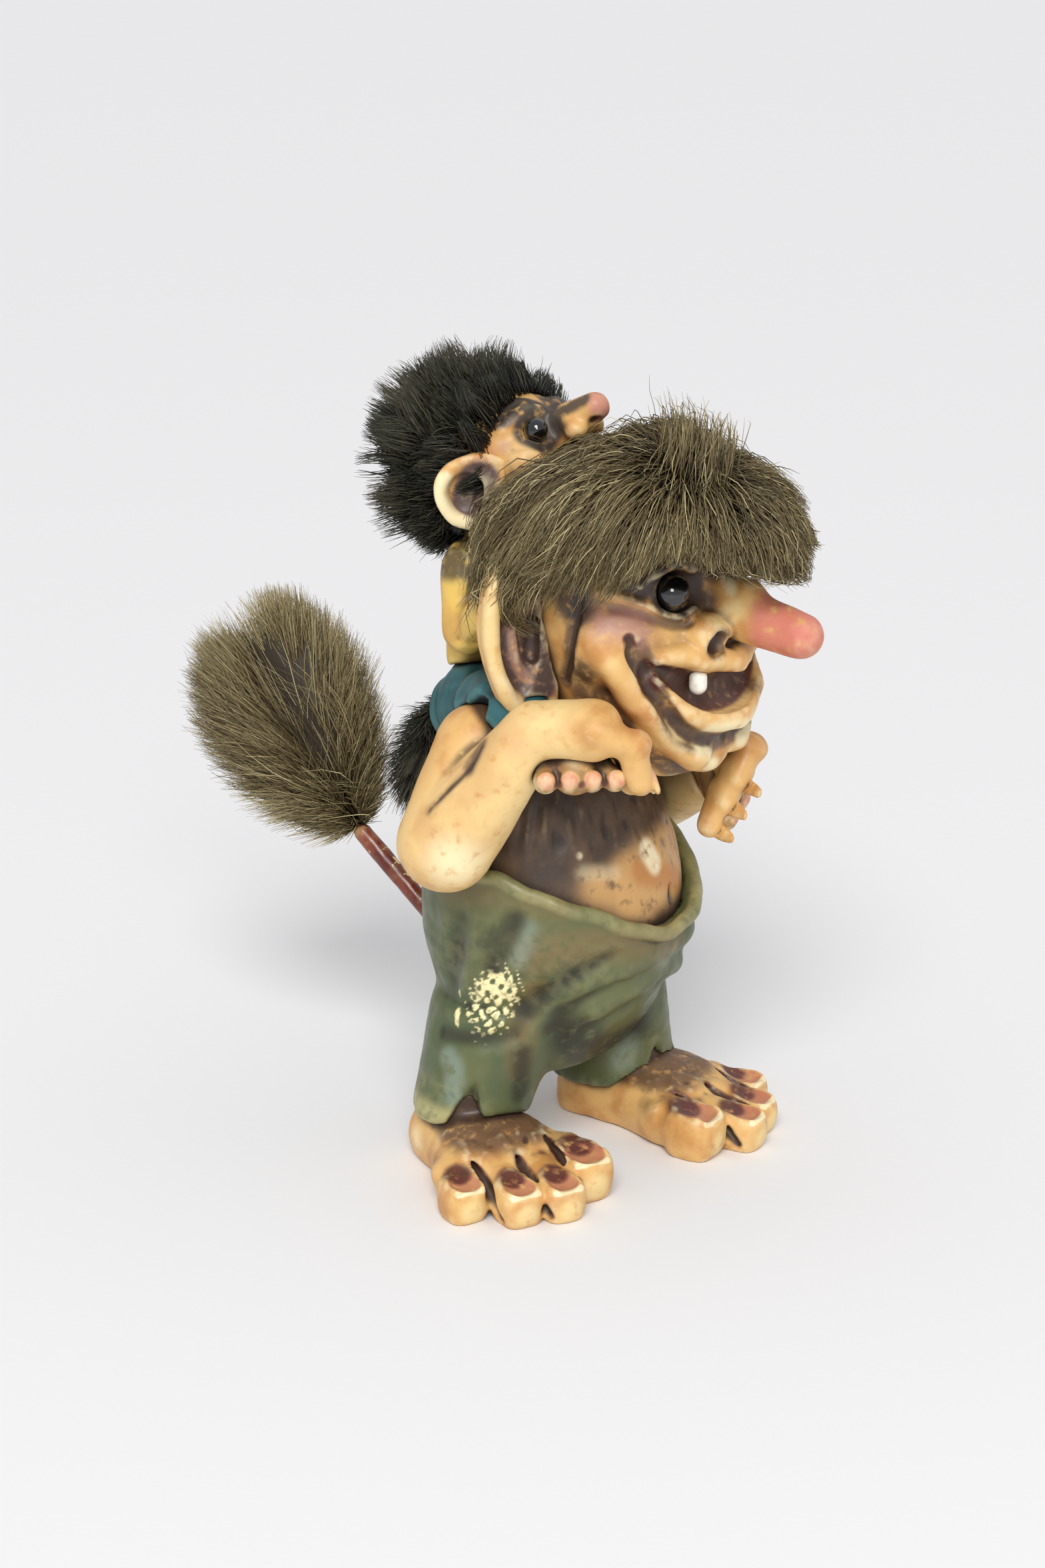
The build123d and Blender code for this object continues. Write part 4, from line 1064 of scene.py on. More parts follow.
def sculpt_foot(node, plan, seed):
    clay = Clay(node, 0.4)
    clay.soften(0.7)
    for number, r in enumerate(TOE_RADII):
        pad = (0.90 * r, 0.96 * r, 0.96 * r)
        clay.lump(plan.toe(number, -0.7, -0.6), pad, plan.turn, blend=1.4, square=3.6)
        clay.lump(plan.toe(number, -8.5, 2.4), (3.0, 3.2, 2.4), plan.turn, blend=2.0)
    for number in range(3):
        clay.groove(plan.between(number, TOE_CLEFT), (0.6, 0.9, 1.2, 1.0), blend=0.7, snap=False)
    for number, r in enumerate(TOE_RADII):
        nail, half_sizes = plan.toe(number, -0.5, 0.98 * r), (0.70 * r, 0.95 * r, 0.38 * r)
        clay.lump(nail, half_sizes, tilted(plan.turn, NAIL_TILT), blend=0.7, cut=True, square=2.6)
    _, _, z = clay.axes()
    hairy = smooth_step(7.5, 12, z) * smooth_step(17, 12, z)
    clay.roughen(0.4, (1.4, 1.4, 2.4), seed=seed + 2, mask=hairy)
    clay.roughen(0.14, 3.0, seed=seed)
    clay.roughen(0.06, 1.2, seed=seed + 1)
    floor = np.broadcast_to(-z, clay.field.shape)
    clay.field = np.maximum(clay.field, floor.astype(np.float32))

    def masks(points):
        nails, rears, edges, webs, fronts = (np.zeros(len(points)) for _ in range(5))
        for number, r in enumerate(TOE_RADII):
            nails = most(nails, spot(points, plan.toe(number, 0.4, 0.62 * r), 0.8 * r, soft=0.25))
            rears = most(rears, spot(points, plan.toe(number, -3.2, 0.8 * r), 0.9 * r, soft=0.6))
            left, right = (plan.toe(number, 0.72 * r, 0.58 * r, s * 0.62 * r) for s in (-1, 1))
            edges = most(edges, spot(points, [left, right], 0.95, soft=0.4))
            fronts = most(fronts, spot(points, plan.toe(number, 0.9 * r, -0.3 * r), 0.9 * r, soft=0.7))
        for number in range(3):
            webs = most(webs, spot(points, plan.between(number, TOE_WEB), 1.9, soft=0.6))
        ankle = most(
            smooth_step(9.5, 13, points[:, 2]),
            0.9 * spot(points, [plan.at(9, 3, 12), plan.at(14, 0, 10)], 7, soft=0.8),
        )
        return {
            "bare": 0.85 * nails,
            "blush": 0.6 * nails,
            "maroon": most(0.3 * nails, rears, webs),
            "grime": most(ankle, 0.5 * spot(points, [plan.toe(n, -13, 3) for n in range(4)], 4, soft=0.8)),
            "light": 0.8 * fronts,
            # The cream spot on the foot's outer side is a painted highlight; the cream at the nails' edges is
            # paint
            "cream": most(edges, 0.8 * spot(points, plan.at(-4, -9, 6), 6, soft=0.9)),
        }

    finish_piece(clay, node, "skin", skin, masks)


# Arms and hands
FINGER_PITCH = 5.8
ARM_CREASE = [(-47.5, 4.4, 88.0), (-46.4, 0.9, 92.6), (-45.1, -3.6, 98.0), (-43.1, -5.2, 102.0)]


def sculpt_arm(node, fingertip, bend, palm, row, elbow, crease, seed):
    clay = Clay(node, 0.4)
    clay.soften(0.9)
    row = unit(np.array(row))
    fingertip, bend, palm = (np.array(p) for p in (fingertip, bend, palm))
    down = unit(fingertip - bend)
    front = unit(np.cross(row, down))
    front = front if front[1] < 0 else -front
    for number in (-0.5, 0.5):
        shift = number * FINGER_PITCH * row
        path = [palm + 0.7 * shift + 4 * front, bend + shift + 3 * front, fingertip + shift + 3 * front]
        clay.groove(path, (0.4, 0.9, 0.8), blend=1.0, snap=False)
    for number in (-1, 0, 1):
        nail = fingertip + number * FINGER_PITCH * row + 2.6 * front + 0.5 * down
        clay.lump(nail, (2.0, 2.6, 0.9), np.array((row, down, front)), blend=0.4)
        clay.lump(bend + number * FINGER_PITCH * row + 2.0 * front, (2.4, 2.4, 2.4), blend=2.0)
    if crease:
        clay.groove(crease, (0.2, 0.7, 0.9, 0.5), blend=1.4, lift=0.2)
    clay.roughen(0.16, 4.0, seed=seed)
    clay.roughen(0.05, 1.3, seed=seed + 1)

    def masks(points):
        nails = np.zeros(len(points))
        for number in (-1, 0, 1):
            nail = fingertip + number * FINGER_PITCH * row + 3.0 * front
            nails = most(nails, spot(points, nail, 2.6))
        knuckle = spot(points, 0.5 * (palm + bend) + 5 * front, 8, soft=0.8)
        # Dark brown below the hand is painted shade; along the crease it is wash and painted shade
        dirt = [0.7 * spot(points, palm + (0, 0, -7), 5.5, soft=0.8)]
        if crease:
            dirt.append(0.9 * spot(points, crease[-2:], 3.5, soft=0.8))
            dirt.append(0.7 * spot(points, crease, 2.2, soft=1.0))
        return {
            # Painted highlight: the light coat along the lit forearm, the cream one on the elbow; the cream
            # on the nails is paint
            "light": spot(points, [np.array(elbow), palm + (0, 8, -1)], 16, soft=0.8),
            "blush": most(0.75 * knuckle, 0.7 * nails, 0.35 * spot(points, palm + (-8, 12, -2), 7, soft=0.9)),
            "cream": most(0.85 * spot(points, np.array(elbow) + (-6, -6, -1), 11, soft=0.9), 0.4 * nails),
            "grime": most(*dirt),
        }

    finish_piece(clay, node, "skin", skin, masks)


# Child
CHILD_EYE = np.array((8.2, 3.2, 160.2))
CHILD_EYE_RADIUS = 2.5
CHILD_BROW = [(-12.6, 8.6, 161), (-10, 7.2, 163), (-7, 6.4, 164.4), (-3.6, 4.6, 164.8)]
CHILD_BROW_PAINT = [(-10, 10.5, 163), (-6.5, 9.5, 165), (-3.6, 5, 164.8)]
CHILD_BRIDGE = [(-3.4, 0.6, 163.4), (-2.4, -4.6, 166.4)]
CHILD_CHEEK = np.array((-11.2, 3.7, 154.4))
CHILD_CHEEK_LINE = [(-14.6, 5.5, 158), (-12.4, 2.4, 157.6), (-9, 0.2, 157)]
CHILD_TEMPLE = (-14.5, 7.5, 157.6)
CHILD_MOUTH = [(-9.2, -0.6, 152.4), (-6, -3.2, 150.4), (0, -4.2, 149.4)]
CHILD_NOSE_WING = np.array((-3.4, -3.4, 160.2))
CHILD_NOSTRIL = np.array((-2.0, -7.6, 161.9))
CHILD_LIP_SHADE = (-2.8, -4.4, 158.6)
CHILD_TOE_PITCH = 4.7
SLEEVE_FOLDS = [
    [(-19, 12, 126.5), (-21.5, 12.5, 122.5), (-21, 13.5, 118)],
    [(-24, 6, 120), (-21.5, 10, 116.6)],
]
CHILD_CLOTH_FOLDS = [
    [(-26, -4, 112), (-31, 0, 107), (-33, -2, 101)],
    [(-18, 12, 111), (-23, 13, 105), (-24, 12, 98)],
    [(-12, 25, 110), (-17, 22, 104), (-19, 20, 96)],
]


def sculpt_child_head():
    clay = Clay("child_head", 0.32)
    clay.soften(0.6)
    for side in (1, -1):
        flip = (-side, 1, 1)
        clay.lump(CHILD_EYE * (side, 1, 1) + (0, -2.4, 0.6), (3.8, 3.0, 3.3), blend=1.4, cut=True)
        clay.lump(CHILD_CHEEK * flip, (4.6, 4.0, 3.8), blend=2.4)
        clay.lump(CHILD_NOSE_WING * flip, (2.3, 2.6, 2.1), blend=1.6)
        clay.lump(CHILD_NOSTRIL * flip, (1.4, 1.5, 1.2), blend=0.6, cut=True)
    clay.twice(clay.ridge, CHILD_BROW, (1.6, 2.0, 2.0, 1.6), blend=1.6, lift=-0.4)
    clay.twice(clay.groove, CHILD_MOUTH, (0.7, 1.0, 1.0), blend=0.8, lift=0.2)
    clay.twice(clay.crease, CHILD_CHEEK_LINE, 2.0, 0.5)
    for side in (1, -1):
        clay.lump(CHILD_EYE * (side, 1, 1), [CHILD_EYE_RADIUS + EYE_FIT] * 3, blend=0.2, cut=True)
    clay.roughen(0.12, 3.0, seed=79)
    clay.roughen(0.05, 1.2, seed=80)

    def masks(points):
        side = one_side(points)
        brow = spot(side, CHILD_BROW_PAINT, 5.0, soft=0.4)
        socket = spot(side, CHILD_EYE * (-1, 1, 1) + (0.6, -0.4, 0.3), 7.0, soft=0.4)
        bridge = spot(side, CHILD_BRIDGE, 2.8, soft=0.7)
        tip = smooth_step(-5.0, -8.0, points[:, 1] - 0.25 * (points[:, 2] - 164))
        cheek = spot(side, CHILD_CHEEK, 6.5, soft=0.7)
        under = most(spot(side, CHILD_NOSTRIL, 2.6, soft=0.7), spot(side, CHILD_LIP_SHADE, 3.0, soft=0.8))
        return {
            "light": 0.8 * cheek,
            "blush": most(0.35 * cheek, 0.75 * tip),
            "mauve": most(0.45 * tip, 0.6 * spot(side, CHILD_TEMPLE, 3.5, soft=0.8)),
            "slate": most(brow, socket, 0.85 * bridge),
            "maroon": 0.9 * under,
            "grime": 0.8 * spot(side, CHILD_MOUTH, 2.4, soft=0.7),
        }

    finish_piece(clay, "child_head", "skin", skin, masks)


def sculpt_child_foot(node, toes, row, seed):
    clay = Clay(node, 0.3)
    clay.soften(0.4)
    row = unit(np.array((*row, 0.0)))
    front = np.array((-row[1], row[0], 0)) if row[0] < 0 else np.array((row[1], -row[0], 0))
    balls = [np.array(toes) + number * CHILD_TOE_PITCH * row for number in (-1.5, -0.5, 0.5, 1.5)]
    turn = np.array((row, front, (0, 0, 1)))
    for ball in balls:
        clay.lump(ball + 1.5 * front + (0, 0, 0.8), (1.9, 1.4, 1.9), turn, blend=0.3)
    clay.roughen(0.1, 2.4, seed=seed)

    def masks(points):
        nails, webs = np.zeros(len(points)), np.zeros(len(points))
        for ball in balls:
            nails = most(nails, spot(points, ball + 2.0 * front + (0, 0, 0.8), 2.3, soft=0.4))
        for first, second in zip(balls[:-1], balls[1:]):
            webs = most(webs, spot(points, 0.5 * (first + second) + 1.5 * front, 1.5, soft=0.6))
        # All but the nails is darkened: painted shade under the parent's hand
        return {"blush": 0.7 * nails, "light": 0.6 * nails, "maroon": 0.8 * webs, "grime": 0.6 * (1 - nails)}

    finish_piece(clay, node, "skin", skin, masks)


def sculpt_child_torso():
    clay = Clay("child_torso", 0.42)
    clay.soften(0.8)
    _, _, z = clay.axes()
    clay.roughen(0.35, (1.4, 1.4, 2.6), seed=77, mask=smooth_step(126, 131, z))
    for fold in SLEEVE_FOLDS:
        clay.twice(clay.crease, fold, 2.6, 0.6)
    clay.roughen(0.12, 3.0, seed=78)

    def masks(points):
        return {"furry": smooth_step(127, 131, points[:, 2] + 0.1 * (points[:, 1] - 15))}

    finish_piece(clay, "child_torso", "child_yellow", child_yellow, masks)


def sculpt_child_trousers():
    clay = Clay("child_trousers", 0.42)
    clay.soften(0.8)
    for fold in CHILD_CLOTH_FOLDS:
        clay.twice(clay.crease, fold, 4.0, 0.8, blend=2.0)
    clay.roughen(0.22, 4.0, seed=71)
    clay.roughen(0.06, 1.4, seed=72)
    finish_piece(clay, "child_trousers", "child_teal", child_teal)


def sculpt_plain(node, voxel, soften, material, slot, seed, rough=0.12, body="figure"):
    """A piece that keeps its packed form, with softened edges and an uneven skin."""
    clay = Clay(node, voxel)
    clay.soften(soften)
    clay.roughen(rough, 3.0, seed)
    clay.roughen(0.4 * rough, 1.2, seed + 1)
    finish_piece(clay, node, slot, material, body=body)


sculpt_head()
sculpt_ear("right_ear", -1)
sculpt_ear("left_ear", 1)
sculpt_torso()
sculpt_trousers()
sculpt_foot("right_foot", RIGHT_FOOT, 51)
sculpt_foot("left_foot", LEFT_FOOT, 55)
sculpt_arm(
    "right_arm",
    fingertip=(-24.7, -31, 94),
    bend=(-27.2, -30, 102),
    palm=(-34.5, -26, 106.5),
    row=(0.75, 0.6, -0.27),
    elbow=(-40, 5, 79),
    crease=ARM_CREASE,
    seed=61,
)
sculpt_arm(
    "left_arm",
    fingertip=(12.5, -31.5, 80),
    bend=(16.5, -32, 86.5),
    palm=(22.5, -26.5, 84.5),
    row=(0.3, -0.4, 0.87),
    elbow=(37.5, 0.5, 70.5),
    crease=None,
    seed=65,
)
sculpt_child_trousers()
sculpt_child_foot("child_right_foot", (-36, -24.5, 96), (0.62, -0.78), 73)
sculpt_child_foot("child_left_foot", (21, -29, 75.5), (-0.95, -0.3), 75)
sculpt_child_torso()
sculpt_child_head()
sculpt_child_ear("child_right_ear", -1)
sculpt_child_ear("child_left_ear", 1)


# Fur
RING_SIDES = 3
STRAND_STEPS = 5
TRIM_STEPS = 33
# Strands can't be trimmed shorter than this many steps
TRIM_LEAST = 4
DOWN = np.array((0.0, 0.0, -1.0))
# Fur is lifted to this far off the rubber, by no more than the second number
SKIN_ROOM = 0.5
DEEPEST = 3
# Fur grows only where the rubber is farther off than this
OPEN_ROOM = 2
CORE_GRID = 0.7
COAT_GRID = 0.8
CORE_SHRINK = 3.2
HAIR_GIRTH = 0.15
FINE_GIRTH = 0.14


def along(paths, shares):
    """Points at shares of the way along each path."""
    place = shares * (paths.shape[1] - 1)
    first = np.minimum(place.astype(int), paths.shape[1] - 2)
    rows = np.arange(len(paths))[:, None]
    t = (place - first)[..., None]
    return paths[rows, first] * (1 - t) + paths[rows, first + 1] * t


class Coat:
    """A furry piece's strands, in figure millimetres: where they grow, which way and how long."""

    def __init__(self, form, seed):
        self.form = form
        self.draws = np.random.default_rng(seed)

    def scatter(self, node, count, sink, keep):
        """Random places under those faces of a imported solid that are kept, and the way out there."""
        points, triangles = node_mesh(node)
        corners = points[triangles]
        facing = np.cross(corners[:, 1] - corners[:, 0], corners[:, 2] - corners[:, 0])
        size = np.linalg.norm(facing, axis=1) * keep(corners.mean(axis=1))
        chosen = self.draws.choice(len(size), count, p=size / size.sum())
        u, v = np.sort(self.draws.uniform(size=(2, count, 1)), axis=0)
        a, b, c = corners[chosen].transpose(1, 0, 2)
        out = unit(facing[chosen])
        deep = self.draws.uniform(*sink, (count, 1))
        return a * u + b * (v - u) + c * (1 - v) - out * deep, out

    def jitter(self, count, spread):
        """Small random turns."""
        return self.draws.normal(0, spread, (count, 3))

    def far(self, points):
        """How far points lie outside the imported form."""
        return self.form.sample(self.form.field, points)

    def hold(self, points, room, droop):
        """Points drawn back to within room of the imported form, or droop below it, and out of the rubber."""
        out = self.form.slope(points)
        over = self.far(points) - room - droop * np.clip(-out[:, 2], 0, 1)
        points = points - np.clip(over, 0, None)[:, None] * out
        depth = SKIN_ROOM - CROWD.sample(CROWD.solid, points)
        return points + np.clip(depth, 0, DEEPEST)[:, None] * CROWD.slope(points, CROWD.solid, step=1.0)

    def paths(self, roots, ways, lengths, steer, hold=None):
        """Each strand's points from root to tip; steer turns it and hold keeps it in place at each step."""
        places, way = [roots], unit(ways)
        for step in range(STRAND_STEPS):
            way = unit(way + steer((step + 1) / STRAND_STEPS))
            ahead = places[-1] + way * (lengths / STRAND_STEPS)[:, None]
            if hold:
                ahead = hold(ahead)
                way = unit(ahead - places[-1] + 1e-6)
            places.append(ahead)
        return np.stack(places, axis=1)

    def trim(self, paths, keep):
        """Cuts each strand off where it first goes beyond what keep allows."""
        count, rings = paths.shape[:2]
        shares = np.linspace(0, 1, TRIM_STEPS)
        fine = along(paths, np.broadcast_to(shares, (count, TRIM_STEPS)))
        inside = np.stack([keep(fine[:, step]) for step in range(TRIM_STEPS)], axis=1)
        kept = np.minimum.accumulate(inside, axis=1).sum(axis=1)
        ends = shares[np.clip(kept - 1, TRIM_LEAST, TRIM_STEPS - 1)]
        return along(paths, ends[:, None] * np.linspace(0, 1, rings))

    def clump(self, paths, group, pull, free=0.12):
        """Strands drawn to the nearest leading strand, most of all at their tips, and each lock's tone."""
        leaders = np.arange(0, len(paths), group)
        roots = paths[:, 0]
        nearest = np.concatenate([
            np.argmin(((part[:, None] - roots[None, leaders]) ** 2).sum(-1), axis=1)
            for part in np.array_split(roots, 16)
        ])
        share = np.linspace(0, 1, paths.shape[1]) ** 1.1
        loose = self.draws.uniform(size=(len(paths), 1, 1)) < free
        weight = pull * share[None, :, None] * self.draws.uniform(0.6, 1.0, (len(paths), 1, 1))
        weight = np.where(loose, 0.15 * weight, weight)
        tones = self.draws.uniform(size=len(leaders))
        return paths * (1 - weight) + paths[leaders[nearest]] * weight, tones[nearest]

    def strands(self, name, paths, tones, thickness):
        """A mesh of thin tapered strands, three-sided and closed at both ends."""
        count, rings = paths.shape[:2]
        ways = unit(np.gradient(paths, axis=1))
        first = unit(np.cross(ways, self.draws.normal(size=(count, 1, 3))))
        second = np.cross(ways, first)
        share = np.linspace(0, 1, rings)
        girth = thickness * (1 - 0.8 * share**1.6)
        girth = girth[None, :, None] * self.draws.uniform(0.7, 1.25, (count, 1, 1))
        corners = []
        for side in range(RING_SIDES):
            angle = 2 * math.pi * side / RING_SIDES
            corners.append(paths + girth * (math.cos(angle) * first + math.sin(angle) * second))
        points = np.stack(corners, axis=2).reshape(-1, 3)
        faces = []
        for ring in range(rings - 1):
            for side in range(RING_SIDES):
                a = ring * RING_SIDES + side
                b = ring * RING_SIDES + (side + 1) % RING_SIDES
                faces += [(a, b, b + RING_SIDES), (a, b + RING_SIDES, a + RING_SIDES)]
        end = (rings - 1) * RING_SIDES
        faces += [(2, 1, 0), (end, end + 1, end + 2)]
        shifts = np.arange(count)[:, None, None] * rings * RING_SIDES
        piece = new_piece(name, points, (np.array(faces)[None] + shifts).reshape(-1, 3))
        write(piece, "along", np.tile(np.repeat(share, RING_SIDES), count))
        write(piece, "strand", np.repeat(self.draws.uniform(size=count), rings * RING_SIDES))
        write(piece, "lock", np.repeat(tones, rings * RING_SIDES))
        return piece


def fur(name, root, middle, tip, blond):
    """Coarse fake fur: dark roots, lighter tips, locks of differing tone and some pale strands."""
    paint = Paint(name, root, 0.5)
    share, strand, lock = (paint.attribute(kind) for kind in ("along", "strand", "lock"))
    paint.coat(paint.span(share, 0.02, 0.4), middle)
    tipped = paint.math("MULTIPLY", paint.span(share, 0.35, 1.0), paint.span(strand, 0.1, 0.7))
    paint.coat(tipped, tip)
    paint.coat(paint.math("MULTIPLY", paint.span(lock, 0.55, 0.0, 0.6), paint.span(strand, 0.9, 0.6)), root)
    pale = paint.math("MAXIMUM", paint.span(strand, 0.80, 0.95), paint.span(lock, 0.86, 1.0, 0.6))
    paint.coat(paint.math("MULTIPLY", pale, paint.span(share, 0.1, 0.55)), blond)
    paint.shader.inputs["Specular IOR Level"].default_value = 0.4
    return paint.done()


fur_olive = fur("fur_olive", rgb(46, 37, 24), rgb(108, 93, 60), rgb(154, 138, 96), rgb(206, 190, 142))
fur_black = fur("fur_black", rgb(15, 15, 12), rgb(34, 34, 26), rgb(58, 58, 44), rgb(92, 88, 68))


def open_air(places):
    """Whether places are well clear of the rubber."""
    return CROWD.sample(CROWD.solid, places) > OPEN_ROOM


def clear_of(points, start, way, radius):
    """Whether points are outside a round passage."""
    shift = points - start
    ahead = shift @ way
    off = np.linalg.norm(shift - ahead[:, None] * way, axis=1)
    return (off > radius) | (ahead < 0)


def under_coat(clay, node, shrink, material, slot, body):
    """A dark core in the place of a packed fur solid, which the strands hide."""
    clay.soften(1.6)
    clay.field += shrink
    clay.roughen(0.5, 3.0, seed=len(node))
    piece, points = clay.mesh(node + "_core")
    for name in ("along", "strand", "lock"):
        write(piece, name, np.zeros(len(points)))
    place(piece, body, slot, material, node)


HAIR_BUNDLES = 3
HAIR_COUNT = 6000
HAIR_SINK = (0.8, 4.5)
WHORL = np.array((-8.0, -34.0, 160.0))
CREST_RADIUS = 8
CREST_SHARE = 0.3
CREST_WAY = np.array((0.1, -0.1, 1.0))
STRAY_SHARE = 0.09
HAIR_BACK = np.array((0.0, -9.0, 154.5))
HAIR_BACK_WAY = unit((0.0, 0.55, 0.84))
HAIR_FRONT_WAY = unit((0.503, -0.346, 0.793))
HAIR_FRONT = 139.5 * HAIR_FRONT_WAY
# Planes at which the fringe ends, below and ahead: a way, and how far along it the plane lies
FRINGE_WAY = unit((0.42, 0.42, 0.81))
FRINGE = 86.0
FRINGE_ROOM = 3.0
FRINGE_REACH_WAY = np.array((0.53, -0.848, 0.0))
FRINGE_REACH = 48.0
# A round passage through the hair, in which each eye is seen
EYE_VIEW = unit((-0.81, -0.51, 0.29))
EYE_PASSAGE = 7.5


def hair_form(voxel, margin):
    """The wig's packed form, cut lower behind and in front."""
    clay = Clay("hair", voxel, margin)
    clay.shave(HAIR_BACK, HAIR_BACK_WAY, blend=4.0)
    clay.shave(HAIR_FRONT, HAIR_FRONT_WAY, blend=4.0)
    return clay


def above_fringe(places):
    """Whether places are in the open and clear of the fringe's cut ends."""
    return open_air(places) & (places @ FRINGE_WAY > FRINGE + FRINGE_ROOM)


def grow_hair():
    """The parent's wig: combed away from a whorl over the forehead, with a crest standing up there."""
    core = hair_form(CORE_GRID, MARGIN)
    core.shave(FRINGE * FRINGE_WAY, -FRINGE_WAY, blend=2.0)
    under_coat(core, "hair", CORE_SHRINK, fur_olive, "fur_olive", "figure")
    coat = Coat(hair_form(COAT_GRID, FUR_MARGIN), seed=100)
    count = HAIR_COUNT
    for number in range(HAIR_BUNDLES):
        roots, out = coat.scatter("hair", count, HAIR_SINK, above_fringe)
        roots = coat.hold(roots, -coat.draws.uniform(*HAIR_SINK, count), 0)
        away = roots - WHORL
        away -= (away * out).sum(axis=1, keepdims=True) * out
        lengths = coat.draws.uniform(14, 34, count)
        x, y, z = roots.T
        locks = np.sin(0.42 * x + 0.31 * y + number) * np.sin(0.47 * y - 0.36 * z)
        room = 0.4 + coat.draws.exponential(0.8, count) + 1.8 * np.clip(locks, 0, 1)
        stray = coat.draws.uniform(size=count) < STRAY_SHARE
        room[stray] += coat.draws.uniform(1.5, 5.0, stray.sum())
        hang = 0.8 + 3.5 * smooth_step(-28, -12, y) + 3.5 * smooth_step(2, 14, x)
        hang += 3.0 * smooth_step(-10, 0, x) * smooth_step(-28, -40, y)
        droop = hang * coat.draws.uniform(0.1, 1.0, count) + hang * stray
        ways = unit(away) + 0.4 * out + coat.jitter(count, 0.2)
        by_whorl = np.linalg.norm(roots[:, :2] - WHORL[:2], axis=1) < CREST_RADIUS
        crest = by_whorl & (coat.draws.uniform(size=count) < CREST_SHARE)
        ways[crest] = CREST_WAY + coat.jitter(crest.sum(), 0.2)
        room[crest] = coat.draws.uniform(4, 11, crest.sum())
        lengths[crest] = coat.draws.uniform(10, 17, crest.sum())

        def steer(share):
            fall = np.where(crest, 0.0, 0.28 * share)
            return fall[:, None] * DOWN + coat.jitter(count, 0.05)

        paths = coat.paths(roots, ways, lengths, steer, lambda points: coat.hold(points, room, droop))
        upright = paths[crest]
        paths, tones = coat.clump(paths, 42, 0.85)
        paths[crest], _ = coat.clump(upright, 14, 0.6)
        ragged = EYE_PASSAGE * coat.draws.uniform(0.75, 1.1, count)
        ends = FRINGE + coat.draws.uniform(-4.5, 1.5, count)
        paths = coat.trim(paths, lambda points: points @ FRINGE_WAY > ends)
        reach = FRINGE_REACH + coat.draws.uniform(-6, 1.5, count)
        paths = coat.trim(paths, lambda points: points @ FRINGE_REACH_WAY < reach)
        for side in (-1, 1):
            start = EYE * (side, 1, 1) - (0, 0, 2)
            view = EYE_VIEW * (-side, 1, 1)
            paths = coat.trim(paths, lambda points: clear_of(points, start, view, ragged))
        piece = coat.strands(f"hair_strands_{number + 1}", paths, tones, HAIR_GIRTH)
        place(piece, "figure", "fur_olive", fur_olive)


TUFT_CORE_SHARE = 0.42
TUFT_ROOT = np.array((0.0, 54.5, 61.65))
TUFT_LEAN = math.radians(38)
TUFT_WAY = np.array((0.0, math.sin(TUFT_LEAN), math.cos(TUFT_LEAN)))
TUFT_PARTING = math.atan2(-0.58, -0.81)
PARTING_HALF = 0.35
CHILD_TUFT_ROOT = np.array((0.0, 32.5, 97.9))
CHILD_TUFT_DROOP = math.radians(74)
CHILD_TUFT_WAY = np.array((0.0, math.cos(CHILD_TUFT_DROOP), -math.sin(CHILD_TUFT_DROOP)))


def grow_tuft(node, names, root, way, length, wide, deep, count, material, slot, body, parting=None):
    """A brush that fans out from its core: strands lean outward, the lower ones most."""
    under_coat(Clay(node, CORE_GRID), node, TUFT_CORE_SHARE * min(wide, deep), material, slot, body)
    coat = Coat(Clay(node, COAT_GRID, FUR_MARGIN), seed=140 + len(node))
    aside = np.array((1.0, 0.0, 0.0))
    behind = np.cross(way, aside)
    for name in names:
        share = coat.draws.uniform(0.03, 0.75, count)
        angle = coat.draws.uniform(-math.pi, math.pi, count)
        if parting is not None:
            angle = parting + np.sign(angle) * (PARTING_HALF + np.abs(angle) * (1 - PARTING_HALF / math.pi))
        radial = np.cos(angle)[:, None] * aside * wide / deep + np.sin(angle)[:, None] * behind
        radial = radial * coat.draws.uniform(0.25, 1.0, (count, 1))
        fullness = np.sin(np.clip(share * 1.9 + 0.12, 0, math.pi))[:, None]
        roots = root + share[:, None] * length * way + radial * TUFT_CORE_SHARE * deep * fullness
        ways = (0.1 + 1.1 * share)[:, None] * way + 0.95 * radial + coat.jitter(count, 0.15)
        lengths = 0.6 * length * coat.draws.uniform(0.7, 1.1, count)

        def steer(part):
            return 0.06 * part * way + coat.jitter(count, 0.05)

        paths, tones = coat.clump(coat.paths(roots, ways, lengths, steer), 60, 0.7)
        room = coat.draws.uniform(-2.0, 0.8, count) + 4.0 * tones**2
        paths = coat.trim(paths, lambda points: coat.far(points) < room)
        place(coat.strands(name, paths, tones, FINE_GIRTH), body, slot, material)


CHILD_HAIR_DIP = np.array((0.0, 49.4, 145.2)) + np.outer((-40, 40), EYE_VIEW)
CHILD_HAIR_COUNT = 5600
CHILD_SPIKE_GROUP = 90
CHILD_SPIKE_LEAN = np.array((0, 0.35, 0.2))
CHILD_HAIRLINE_Y = 10.5
CHILD_NECK_Z = 148
# Room that no strand uses up
FREE_ROOM = 30.0


def on_scalp(places):
    """Whether places on the child's head are behind its hairline and above its neck."""
    return (places[:, 1] > CHILD_HAIRLINE_Y) & (places[:, 2] > CHILD_NECK_Z)


def child_hair_form(voxel, margin):
    """The child's packed wig with a dip behind, between its upper and lower spikes."""
    clay = Clay("child_hair", voxel, margin)
    clay.groove(CHILD_HAIR_DIP, 6.5, blend=5.0, snap=False)
    return clay


